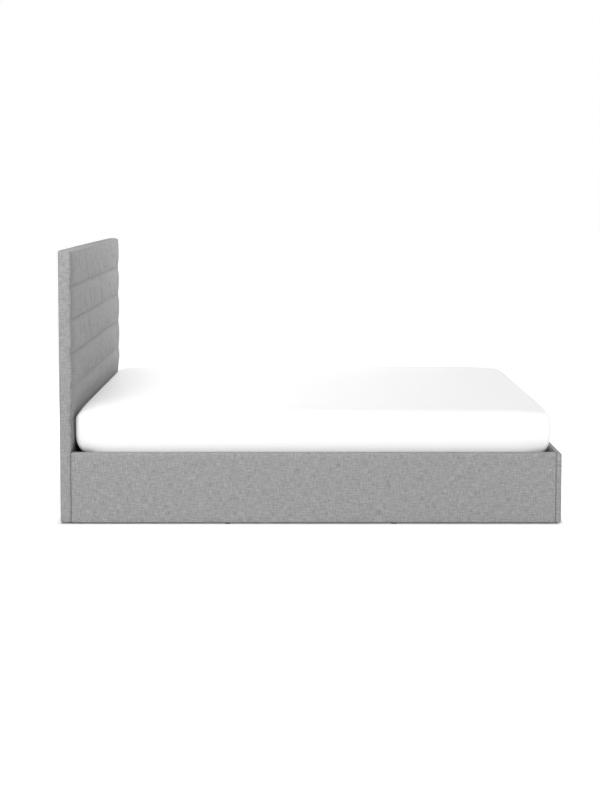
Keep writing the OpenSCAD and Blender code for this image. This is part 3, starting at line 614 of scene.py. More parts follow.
def face_out(ob):
    """Turns every closed shell of a mesh to face outwards."""
    import bmesh

    bm = bmesh.new()
    bm.from_mesh(ob.data)
    bmesh.ops.recalc_face_normals(bm, faces=bm.faces)
    bm.to_mesh(ob.data)
    bm.free()


def mesh(name, V, polys, attrs=None, flat_uv=None, mat=None, smooth_shade=True):
    """A Blender object from points in millimetres, with a UV map in metres in each face's main plane."""
    me = bpy.data.meshes.new(name)
    P = (V + SHIFT) * 0.001
    me.from_pydata(P.tolist(), [], polys)
    me.validate(clean_customdata=False)
    me.update()
    used = np.zeros(len(me.vertices), bool)
    loops = np.zeros(len(me.loops), np.int32)
    me.loops.foreach_get("vertex_index", loops)
    used[loops] = True
    co = np.zeros(len(me.vertices) * 3)
    me.vertices.foreach_get("co", co)
    co = co.reshape(-1, 3)
    total = np.zeros(len(me.polygons), np.int32)
    me.polygons.foreach_get("loop_total", total)
    nor = np.zeros(len(me.polygons) * 3)
    me.polygons.foreach_get("normal", nor)
    nor = np.abs(nor.reshape(-1, 3))
    main = np.repeat(nor.argmax(1), total)
    lc = co[loops]
    u = np.where(main == 0, lc[:, 1], lc[:, 0])
    v = np.where(main == 2, lc[:, 1], lc[:, 2])
    if flat_uv is not None:
        u, v = flat_uv[0][loops], flat_uv[1][loops]
    layer = me.uv_layers.new(name="weave")
    layer.data.foreach_set("uv", np.stack([u, v], 1).astype(np.float32).ravel())
    for k, a in (attrs or {}).items():
        at = me.attributes.new(k, "FLOAT", "POINT")
        at.data.foreach_set("value", np.asarray(a, np.float32))
    if smooth_shade:
        me.polygons.foreach_set("use_smooth", np.ones(len(me.polygons), bool))
    ob = bpy.data.objects.new(name, me)
    scene.collection.objects.link(ob)
    if mat is not None:
        me.materials.append(mat)
    if not used.all():
        import bmesh

        bm = bmesh.new()
        bm.from_mesh(me)
        bmesh.ops.delete(bm, geom=[v for v in bm.verts if not v.link_faces], context="VERTS")
        bm.to_mesh(me)
        bm.free()
    return ob


# ---------------------------------------------------------------- headboard
def stuffed_front():
    """Cloth simulation of the headboard's front: a sheet cut a little too large, sewn down along the seams and
    pressed out by the padding behind it.

    Returns the sheet's lines across and up, and how far each crossing stands out from the seams, in millimetres."""
    edges = [Z_FLAT] + SEAMS[::-1] + [HEAD_H - 6.0]
    zs = np.concatenate([np.linspace(a, b, int(round((b - a) / 8.0)) + 1)[:-1] for a, b in zip(edges[:-1], edges[1:])] + [edges[-1:]])
    ys = np.linspace(-W2, W2, 201)
    ny, nz = len(ys), len(zs)
    Y, Z = np.meshgrid(ys, zs, indexing="ij")
    start = 0.6 + 0.8 * np.random.RandomState(11).rand(ny, nz)
    idx = np.arange(ny * nz).reshape(ny, nz)
    quads = np.stack([idx[:-1, :-1], idx[1:, :-1], idx[1:, 1:], idx[:-1, 1:]], -1).reshape(-1, 4)
    i, j = np.meshgrid(np.arange(ny - 1), np.arange(nz - 1), indexing="ij")
    odd = ((i + j) % 2 == 1).ravel()
    tris = np.concatenate([quads[~odd][:, [0, 1, 2]], quads[~odd][:, [0, 2, 3]], quads[odd][:, [0, 1, 3]], quads[odd][:, [1, 2, 3]]])
    me = bpy.data.meshes.new("stuffing")
    me.from_pydata((np.stack([start, Y, Z], -1).reshape(-1, 3) * 0.001).tolist(), [], tris.tolist())
    me.update()
    ob = bpy.data.objects.new("stuffing", me)
    scene.collection.objects.link(ob)
    sewn = np.zeros((ny, nz), bool)
    sewn[:, np.isin(zs.round(2), np.round(edges, 2))] = True
    sewn[0] = sewn[-1] = True
    group = ob.vertex_groups.new(name="sewn")
    group.add([int(k) for k in idx[sewn]], 1.0, "REPLACE")
    mod = ob.modifiers.new("cloth", "CLOTH")
    st = mod.settings
    st.quality, st.mass = 5, 0.3
    st.tension_stiffness = st.compression_stiffness = st.shear_stiffness = 15.0
    st.bending_stiffness = 0.3
    st.use_pressure, st.uniform_pressure_force = True, 2.0
    st.shrink_min = -0.010
    st.vertex_group_mass = "sewn"
    st.effector_weights.gravity = 0.0
    mod.collision_settings.use_collision = False
    mod.collision_settings.use_self_collision = False
    mod.point_cache.frame_start, mod.point_cache.frame_end = 1, 20
    for f in range(1, 21):
        scene.frame_set(f)
    got = ob.evaluated_get(bpy.context.evaluated_depsgraph_get())
    co = np.zeros(ny * nz * 3)
    got.data.vertices.foreach_get("co", co)
    co = co.reshape(ny, nz, 3)[..., 0] * 1000.0
    bpy.data.objects.remove(ob)
    bpy.data.meshes.remove(me)
    scene.frame_set(1)
    return ys, zs, np.clip(co, 0.0, 12.0)


def sampled(ys, zs, S, y, z):
    """A grid's values at other points, by smooth interpolation."""

    def weights(lines_, v):
        k = np.clip(np.searchsorted(lines_, v, side="right") - 1, 0, len(lines_) - 2)
        t = np.clip((v - lines_[k]) / (lines_[k + 1] - lines_[k]), 0, 1)
        w = [-0.5 * t + t**2 - 0.5 * t**3, 1 - 2.5 * t**2 + 1.5 * t**3, 0.5 * t + 2 * t**2 - 1.5 * t**3, -0.5 * t**2 + 0.5 * t**3]
        return [np.clip(k + d, 0, len(lines_) - 1) for d in (-1, 0, 1, 2)], w

    ky, wy = weights(ys, y)
    kz, wz = weights(zs, z)
    return sum(wy[a] * wz[b] * S[ky[a], kz[b]] for a in range(4) for b in range(4))


def headboard():
    lo, hi = (0.0, -W2, Z0), (HEAD_D, W2, HEAD_H)
    rx_lo, rx_hi, ry, rz_lo, rz_hi = 9.0, 11.0, 8.0, 9.0, 10.0
    near_seam = [s + d for s in SEAMS for d in (-22, -17, -13, -10, -7.5, -5.5, -4, -2.8, -1.8, -1, -0.4, 0.4, 1, 1.8, 2.8, 4, 5.5, 7.5, 10, 13, 17, 22)]
    zs = lines(Z0, HEAD_H, 8.0, [*arc(Z0, rz_lo, 1), *arc(HEAD_H, rz_hi, -1), *near_seam, Z0 + 40, HEAD_H - 40, 14.5, 18, HEAD_H - 14.5, HEAD_H - 18, 296, 300, Z_FLAT - 1.5, Z_FLAT, Z_FLAT + 1.5, Z_FLAT + 4, Z_FLAT + 9, Z_FLAT + 15])
    ends = [790.0, 788.0, 785, 781, 777, 772, 766, 760, 753, 746, 738, 730, 721, 712]
    ys = lines(-W2, W2, 8.0, [*arc(-W2, ry, 1), *arc(W2, ry, -1), *ends, *[-e for e in ends], -760, 760])
    xs = lines(0.0, HEAD_D, 8.0, [*arc(0, rx_lo, 1), *arc(HEAD_D, rx_hi, -1), 36.05, 20, 28])
    P, F, T = lattice(xs, ys, zs)
    out = rounded(P, lo, hi, (rx_lo, ry, rz_lo), (rx_hi, ry, rz_hi))
    y, z = P[:, 1], P[:, 2]
    ay = np.abs(y)

    # the channels
    tops = np.array([HEAD_H] + SEAMS + [Z_FLAT])
    zw = z + 1.6 * vnoise(y / 170.0, 0.0, 3) + 0.7 * vnoise(y / 45.0, 0.0, 5)
    zw = np.where(z > SEAMS[0] + 60, z, zw)
    h = np.zeros(len(z))
    dz = np.full(len(z), 1e3)
    for k in range(6):
        b, a = tops[k], tops[k + 1]
        m = (zw >= a) & (zw <= b + (10 if k == 0 else 0))
        u = np.clip((2 * zw[m] - a - b) / (b - a), -1, 1)
        full = np.clip(1 - np.abs(u) ** 2.4, 0, 1) ** 0.74
        if k == 0:
            full = np.where(u > 0, 1 - 0.10 * u**3, full)
        # each channel is stuffed a little differently
        h[m] = full * (1 + 0.045 * vnoise(y[m] / 260.0, k * 3.7, 11))
    for s in SEAMS:
        dz = np.minimum(dz, np.abs(zw - s))
    sgn = np.zeros(len(z))
    for k, s in enumerate(SEAMS):
        near = np.abs(zw - s) < 60
        sgn[near] = np.where(zw[near] > s, k * 2 + 1, k * 2 + 2)
    t = np.clip((W2 - ay) / 90.0, 0, 1)
    gy = 0.52 + 0.48 * (1 - (1 - t) ** 3.4)
    # the cloth is gathered along each seam: small puckers next to it, longer pulls that run on into the channel
    pucker = (0.62 * vnoise(y / 15.0, sgn * 9.1, 21) + 0.38 * vnoise(y / 6.5, sgn * 5.3, 23)) * np.exp(-dz / 17.0) * (1 - np.exp(-dz / 3.0))
    pull = (0.7 * vnoise(y / 27.0, sgn * 3.3, 25) + 0.5 * vnoise(y / 44.0, sgn * 7.7, 27)) * np.exp(-dz / 42.0) * (1 - np.exp(-dz / 6.0))
    fold = 0.55 * fbm(y / 52.0, z / 330.0, 31) + 0.20 * vnoise(y / 21.0, z / 140.0, 33)
    top_fold = 0.45 * vnoise(y / 30.0, 0.0, 37) * smooth((z - 1085) / 50.0)
    high = smooth((z - 470.0) / 70.0)
    # folds of the simulated cloth: how far it stands out from its own mean channel
    loose = 0.0
    ly, lz, S = stuffed_front()
    for _ in range(2):
        S = np.concatenate([S[:1], (S[:-2] + 2 * S[1:-1] + S[2:]) / 4, S[-1:]])
    mean = S[20:-20].mean(0)
    loose = sampled(ly, lz, S - mean, y, zw)
    share = sampled(ly, lz, np.broadcast_to(mean, S.shape), y, zw) / mean.max()
    h = np.where(z > Z_FLAT, 0.55 * h + 0.45 * np.clip(share, 0, 1.1), h)
    loose = loose * smooth((W2 - 10 - ay) / 60.0) * smooth((HEAD_H - 12 - z) / 20.0) * (z > Z_FLAT)
    pucker, pull, fold = 0.7 * pucker, 0.5 * pull, 0.5 * fold
    # behind the mattress the pads are pressed flatter
    D = 0.6 + 3.6 * high + (9.9 * h * (0.60 + 0.40 * high) + 0.8 * loose * (0.4 + 0.6 * high) + 1.1 * pucker + 1.3 * pull + fold * h + top_fold) * gy
    # the seam is drawn in more at some places than at others
    D += (0.8 + 1.1 * vnoise(y / 70.0, sgn * 0.0, 29) + 0.5 * vnoise(y / 31.0, 2.0, 30)) * np.exp(-((dz / 7.0) ** 2)) * gy
    D += -0.5 * np.exp(-((dz / 2.6) ** 2)) * gy
    D *= smooth((z - (Z_FLAT - 2)) / 4.0)
    w = smooth((out[:, 0] - 30.0) / 16.0)
    out[:, 0] += D * w

    # the top edge is a little higher in the middle; side and top bands are softly filled
    crown = 0.9 * (1 - (y / W2) ** 2) + 1.5 + 0.5 * vnoise(y / 120.0, 0.0, 41) + 0.22 * vnoise(y / 28.0, 0.0, 43)
    up = smooth((P[:, 2] - 1090) / 56.0)
    out[:, 2] += crown * up
    mid = np.clip(1 - ((P[:, 0] - 23.0) / 23.0) ** 2, 0, 1)
    side = (ay > W2 - 0.01).astype(float)
    out[:, 1] += np.sign(y) * side * mid * (0.5 + 0.45 * fbm(z / 90.0, np.sign(y) * 3.0, 47)) * smooth((z - 15) / 40) * smooth((HEAD_H - 10 - z) / 40)
    topf = (P[:, 2] > HEAD_H - 0.01).astype(float)
    out[:, 2] += topf * mid * 0.8

    # at the back the cloth is pulled over the frame and stapled; the lining covers its edge
    d_edge = np.minimum(W2 - ay, np.minimum(z - Z0, HEAD_H - z))
    back = P[:, 0] < 0.01
    out[:, 0] = np.where(back & (d_edge > 9.9), 1.1 * smooth((d_edge - 10.0) / 4.5), out[:, 0])

    quad = P[F]
    qd = np.minimum(W2 - np.abs(quad[:, :, 1]), np.minimum(quad[:, :, 2] - Z0, HEAD_H - quad[:, :, 2])).min(1)
    hole = (T == 0) & (qd > 39.5)
    inn = np.clip(P, (1.95, -795.0, 6.0), (36.05, 795.0, 1141.0))
    q = np.clip((rx_lo - inn[:, 0]) / rx_lo, 0, 1)
    drop = 1 - np.sqrt(np.clip(1 - q * q, 0, 1))
    inn[:, 2] = np.clip(inn[:, 2], Z0 + rz_lo * drop + 0.9, HEAD_H - rz_hi * drop - 0.9 + crown * 0.0)
    inn[:, 1] = np.clip(inn[:, 1], -(W2 - ry * drop - 0.9), W2 - ry * drop - 0.9)
    # the pocket's floor becomes one face
    floor_v = np.abs(inn[:, 0] - 36.05) < 1e-6
    inside = floor_v & (np.abs(inn[:, 1]) < 794.9) & (inn[:, 2] > 6.1) & (inn[:, 2] < 1140.9)
    allf = floor_v[F].all(1)
    skip = inside[F].any(1) | allf
    V, groups = shell(F, out, inn, hole, skip)
    n = len(out)
    edge_i = np.where(floor_v & ~inside)[0]
    pos = inn[edge_i]
    key = np.unique(np.round(pos, 3), axis=0, return_index=True)[1]
    edge_i = edge_i[key]
    ang = np.arctan2((inn[edge_i, 2] - 573.5) / 567.5, inn[edge_i, 1] / 795.0)
    # walk round the rectangle side by side, so that points on one side stay in order
    order = np.argsort(ang)
    loop = [int(i) + n for i in edge_i[order]][::-1]
    V2, polys, first = weld(V, groups, extra=[loop])
    painted_shading = np.zeros(len(V))
    front = smooth((P[:, 0] - 40) / 6.0)
    # painted shade where the cloth is drawn in: the colour is darkened in the seams, at the ends of the channels and
    # round the top edge
    drawn = (0.8 + 0.3 * vnoise(y / 60.0, sgn, 51)) * (0.45 + 0.7 * smooth((z - 600.0) / 80.0)) * np.exp(-((dz / 8.0) ** 2)) * (z > Z_FLAT) + 0.8 * np.exp(-(W2 - ay) / 46.0) * (z > 296)
    painted_rim_shade = 0.8 * smooth((P[:, 2] - HEAD_H + 12.0) / 8.0) * smooth((P[:, 0] - 6.0) / 8.0) * smooth((W2 - 3.0 - ay) / 8.0)
    painted_shading[:n] = np.clip(front * drawn + painted_rim_shade, 0, 1)
    ob = mesh("headboard_cover_padded", V2, polys, {"painted_shading": painted_shading[first]}, mat=MATS["upholstery"])
    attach(ob, "base")
    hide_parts("headboard_cover")
    return ob


# ---------------------------------------------------------------- rails and foot panel
def rail(side, name, node):
    """side is -1 for the right rail (the near one) and +1 for the left."""
    lo, hi = (HEAD_D, 770.5, Z0), (X_FOOT, W2, RAIL_H)
    rx, ry_lo, ry_hi, rz_lo, rz_hi = 3.6, 1.4, 9.0, 3.5, 10.0
    xs = lines(HEAD_D, X_FOOT, 14.0, [*arc(HEAD_D, rx, 1, 4), *arc(X_FOOT, rx, -1, 4), HEAD_D + 7, X_FOOT - 7])
    ys = lines(770.5, W2, 7.0, [*arc(770.5, ry_lo, 1, 2), *arc(W2, ry_hi, -1), 772.0, 794.0])
    zs = lines(Z0, RAIL_H, 12.0, [*arc(Z0, rz_lo, 1), *arc(RAIL_H, rz_hi, -1), 6.0, 295.0, 28.0, 264.0])
    P, F, T = lattice(xs, ys, zs)
    out = rounded(P, lo, hi, (rx, ry_lo, rz_lo), (rx, ry_hi, rz_hi))
    x, z = P[:, 0], P[:, 2]
    outer = smooth((P[:, 1] - 796.0) / 4.0)
    sx = side * 40.0
    wave = 0.55 * fbm(x / 240.0, z / 150.0 + sx, 61) + 0.22 * vnoise(x / 55.0, z / 60.0 + sx, 63)
    belly = 0.8 * np.clip(1 - ((z - 152.0) / 148.0) ** 4, 0, 1)
    fade = smooth((x - HEAD_D - 2) / 30.0) * smooth((X_FOOT - 2 - x) / 30.0)
    out[:, 1] += outer * (wave * 0.8 + belly) * (0.25 + 0.75 * fade)
    topm = smooth((z - 292.0) / 8.0) * smooth((P[:, 1] - 771.5) / 6.0)
    out[:, 2] += topm * (0.35 + 0.35 * vnoise(x / 160.0, sx, 67) + 0.2 * vnoise(x / 37.0, sx, 69)) * (0.2 + 0.8 * fade)
    # the flaps inside are stapled down, so they lie in shallow waves
    flap = (P[:, 1] < 770.6) & ((z < 30) | (z > 262))
    out[:, 1] = np.where(flap & (z > 8) & (z < 292), out[:, 1] + 0.25 * vnoise(x / 33.0, sx, 71), out[:, 1])
    out[:, 1] = np.clip(out[:, 1], 769.9, None)
    quad = P[F]
    c = quad.mean(1)
    end = (T == 0) | (T == 1)
    inner_end = end & (c[:, 1] > 772) & (c[:, 1] < 794) & (c[:, 2] > 6) & (c[:, 2] < 295)
    through = (c[:, 1] < 772) & (c[:, 2] > 28) & (c[:, 2] < 264)
    hole = inner_end | (through & (end | (T == 2)))
    inn = np.clip(P, (HEAD_D, 772.0, 6.0), (X_FOOT, 794.0, 295.0))
    inn[:, 0] = np.clip(inn[:, 0], HEAD_D + 0.6, X_FOOT - 0.6)
    V, groups = shell(F, out, inn, hole)
    mirror = np.array([1.0, float(side), 1.0])
    V = V * mirror
    if side < 0:
        groups = [g[:, ::-1] for g in groups]
    V2, polys, first = weld(V, groups)
    painted_shading = np.zeros(len(V))
    n = len(out)
    # painted shade at both ends, where the cover is drawn in against the headboard and the foot panel, and a painted
    # highlight along the top edge, where it is stretched over
    painted_top_highlight = 0.45 * smooth((P[:, 2] - 287.0) / 6.0) * smooth((P[:, 1] - 782.0) / 10.0)
    painted_shading[:n] = 0.75 * np.clip(smooth((HEAD_D + 2.5 - x) / 2.5) + smooth((x - X_FOOT + 2.5) / 2.5), 0, 1) - painted_top_highlight
    ob = mesh(name, V2, polys, {"painted_shading": painted_shading[first]}, mat=MATS["upholstery"])
    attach(ob, "base")
    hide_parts(node)
    return ob


def foot_panel():
    lo, hi = (X_FOOT, -W2, Z0), (BED_L, W2, RAIL_H)
    rx_lo, rx_hi, ry, rz_lo, rz_hi = 8.5, 9.0, 5.0, 8.0, 8.5
    xs = lines(X_FOOT, BED_L, 6.0, [*arc(X_FOOT, rx_lo, 1), *arc(BED_L, rx_hi, -1), 2081.0, 2096.0])
    ys = lines(-W2, W2, 14.0, [*arc(-W2, ry, 1), *arc(W2, ry, -1), -724, 724, -795, 795])
    zs = lines(Z0, RAIL_H, 12.0, [*arc(Z0, rz_lo, 1), *arc(RAIL_H, rz_hi, -1), 6.0, 295.0, 32.0, 260.0])
    P, F, T = lattice(xs, ys, zs)
    out = rounded(P, lo, hi, (rx_lo, ry, rz_lo), (rx_hi, ry, rz_hi))
    y, z = P[:, 1], P[:, 2]
    outer = smooth((P[:, 0] - 2094.0) / 6.0)
    wave = 0.55 * fbm(y / 240.0, z / 150.0, 81) + 0.22 * vnoise(y / 55.0, z / 60.0, 83)
    belly = 0.7 * np.clip(1 - ((z - 152.0) / 148.0) ** 4, 0, 1)
    fade = smooth((W2 - 2 - np.abs(y)) / 40.0)
    out[:, 0] += outer * (wave * 0.7 + belly) * fade
    topm = smooth((z - 292.0) / 8.0)
    out[:, 2] += topm * (0.3 + 0.3 * vnoise(y / 160.0, 5.0, 87) + 0.15 * vnoise(y / 37.0, 5.0, 89)) * fade
    quad = P[F]
    c = quad.mean(1)
    hole = (T == 0) & (np.abs(c[:, 1]) < 724) & (c[:, 2] > 32) & (c[:, 2] < 260)
    inn = np.clip(P, (2081.0, -795.0, 6.0), (2096.0, 795.0, 295.0))
    V, groups = shell(F, out, inn, hole)
    V2, polys, first = weld(V, groups)
    painted_shading = np.zeros(len(V))
    n = len(out)
    # painted shade: a dark line on the side faces along the inner edge, where the foot panel meets the rails
    painted_shading[:n] = np.clip(smooth((X_FOOT + 2.0 - P[:, 0]) / 2.0) * (np.abs(y) > W2 - 1), 0, 1)
    ob = mesh("foot_panel_cover_padded", V2, polys, {"painted_shading": painted_shading[first]}, mat=MATS["upholstery"])
    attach(ob, "base")
    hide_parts("foot_panel_cover")
    return ob


def back_lining():
    """Black lining over the headboard's back: a thin sheet with its edge folded under."""
    y1, za, zb = 786.0, 15.0, 1133.0
    xs = np.array([0.15, 0.55, 0.95])
    hem = [y1 - d for d in (0, 1, 13, 14.5, 16)]
    ys = lines(-y1, y1, 20.0, hem + [-h for h in hem])
    zs = lines(za, zb, 20.0, [za, za + 1, za + 13, za + 14.5, za + 16, zb, zb - 1, zb - 13, zb - 14.5, zb - 16])
    P, F, T = lattice(xs, ys, zs)
    out = P.copy()
    d = np.minimum(y1 - np.abs(P[:, 1]), np.minimum(P[:, 2] - za, zb - P[:, 2]))
    double = smooth((15.0 - d) / 2.0)
    front = P[:, 0] < 0.5
    out[:, 0] -= front * 0.45 * double
    # it is drawn a little tighter between its staples
    pull = 0.5 * vnoise(P[:, 1] / 44.0, 1.0, 91) + 0.5 * vnoise(P[:, 2] / 44.0, 4.0, 93)
    out[:, 0] += 0.14 * fbm(P[:, 1] / 130.0, P[:, 2] / 130.0, 95) * smooth(d / 30.0)
    scal = 0.8 * pull * smooth((14 - d) / 12.0)
    out[:, 1] += np.sign(P[:, 1]) * scal * (np.abs(P[:, 1]) > y1 - 14)
    out[:, 2] += np.where(P[:, 2] > 600, 1.0, -1.0) * scal * (np.minimum(P[:, 2] - za, zb - P[:, 2]) < 14)
    V2, polys, first = weld(out, [F])
    ob = mesh("headboard_back_lining_sheet", V2, polys, mat=MATS["lining"])
    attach(ob, "base")
    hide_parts("headboard_back_lining")
    return ob


def staples():
    """Wire staples that hold the lining and the inner flaps of the covers."""
    V, polys = [], []

    def wire(c, along, out_, up):
        """One staple's crown with its two bent ends: along is its length's direction, out_ points away from the cloth."""
        along, out_, up = (np.array(v, float) for v in (along, out_, up))
        path = [(-5.6, -1.2), (-5.6, 0.1), (-5.1, 0.42), (5.1, 0.42), (5.6, 0.1), (5.6, -1.2)]
        ring = [(-0.55, -0.22), (0.55, -0.22), (0.55, 0.22), (-0.55, 0.22)]
        start = len(V)
        for k, (a, o) in enumerate(path):
            for (r, q) in ring:
                if k in (0, 5):
                    p = c + along * (a + (-q if k == 0 else q)) + out_ * o + up * r
                elif k in (1, 4):
                    s_ = -1 if k == 1 else 1
                    p = c + along * (a + s_ * q * 0.7) + out_ * (o + q * 0.7) + up * r
                else:
                    p = c + along * a + out_ * (o + q) + up * r
                V.append(p)
        faces = []
        for k in range(5):
            for j in range(4):
                a0, a1 = start + k * 4 + j, start + k * 4 + (j + 1) % 4
                faces.append([a0, a1, a1 + 4, a0 + 4])
        faces.append([start + 3, start + 2, start + 1, start])
        faces.append([start + 20, start + 21, start + 22, start + 23])
        # faces look outwards whichever hand the staple's own axes are
        turned = np.dot(np.cross(along, out_), up) > 0
        polys.extend([f[::-1] if turned else f for f in faces])

    rng = np.random.RandomState(7)
    for k in range(36):
        yk = -765 + k * 1530 / 35 + rng.uniform(-4, 4)
        for zk in (22.0, 1126.0):
            tilt = rng.uniform(-0.12, 0.12)
            wire(np.array([-0.30, yk, zk + rng.uniform(-1, 1)]), (0, math.cos(tilt), math.sin(tilt)), (-1, 0, 0), (0, -math.sin(tilt), math.cos(tilt)))
    for k in range(25):
        zk = 60 + k * 1028 / 24 + rng.uniform(-4, 4)
        for yk in (-779.0, 779.0):
            tilt = rng.uniform(-0.12, 0.12)
            wire(np.array([-0.30, yk + rng.uniform(-1, 1), zk]), (0, math.sin(tilt), math.cos(tilt)), (-1, 0, 0), (0, -math.cos(tilt), math.sin(tilt)))
    for side in (-1, 1):
        for k in range(30):
            xk = 80 + k * 1960 / 29 + rng.uniform(-6, 6)
            if 330 < xk < 820:
                continue
            for zk in (22.0, 271.0):
                tilt = rng.uniform(-0.1, 0.1)
                wire(np.array([xk, side * 770.15, zk + rng.uniform(-1.5, 1.5)]), (math.cos(tilt), 0, math.sin(tilt)), (0, -side, 0), (-math.sin(tilt), 0, math.cos(tilt)))
    for k in range(20):
        yk = -690 + k * 1380 / 19 + rng.uniform(-5, 5)
        for zk in (26.5, 267.0):
            tilt = rng.uniform(-0.1, 0.1)
            wire(np.array([2076.75, yk, zk + rng.uniform(-1.5, 1.5)]), (0, math.cos(tilt), math.sin(tilt)), (-1, 0, 0), (0, -math.sin(tilt), math.cos(tilt)))
    ob = mesh("upholstery_staples", np.array(V), polys, mat=MATS["zinc_steel"], smooth_shade=False)
    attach(ob, "base")
    return ob


# ---------------------------------------------------------------- mattress
def ring_path(n_long, n_short, n_corner):
    """Parameters round a rectangle with round corners: for each point which corner it belongs to and its place."""
    pts = []
    corners = [(1, -1, -90), (1, 1, 0), (-1, 1, 90), (-1, -1, 180)]
    counts = [n_short, n_long, n_short, n_long]
    for k, (sx, sy, a0) in enumerate(corners):
        for i in range(n_corner + 1):
            a = math.radians(a0 + 90.0 * i / n_corner)
            pts.append((sx, sy, math.cos(a), math.sin(a), 0.0, k))
        for i in range(1, counts[k]):
            pts.append((sx, sy, math.cos(math.radians(a0 + 90)), math.sin(math.radians(a0 + 90)), i / counts[k], k))
    return pts, corners


def ring(pts, corners, hx, hy, r, cx):
    """The path's points for half sizes hx and hy and corner radius r."""
    P = np.zeros((len(pts), 2))
    for j, (sx, sy, ca, sa, t, k) in enumerate(pts):
        p = np.array([sx * (hx - r) + r * ca, sy * (hy - r) + r * sa])
        if t > 0:
            nsx, nsy = corners[(k + 1) % 4][:2]
            q = np.array([nsx * (hx - r) + r * ca, nsy * (hy - r) + r * sa])
            p = p * (1 - t) + q * t
        P[j] = p
    P[:, 0] += cx
    return P


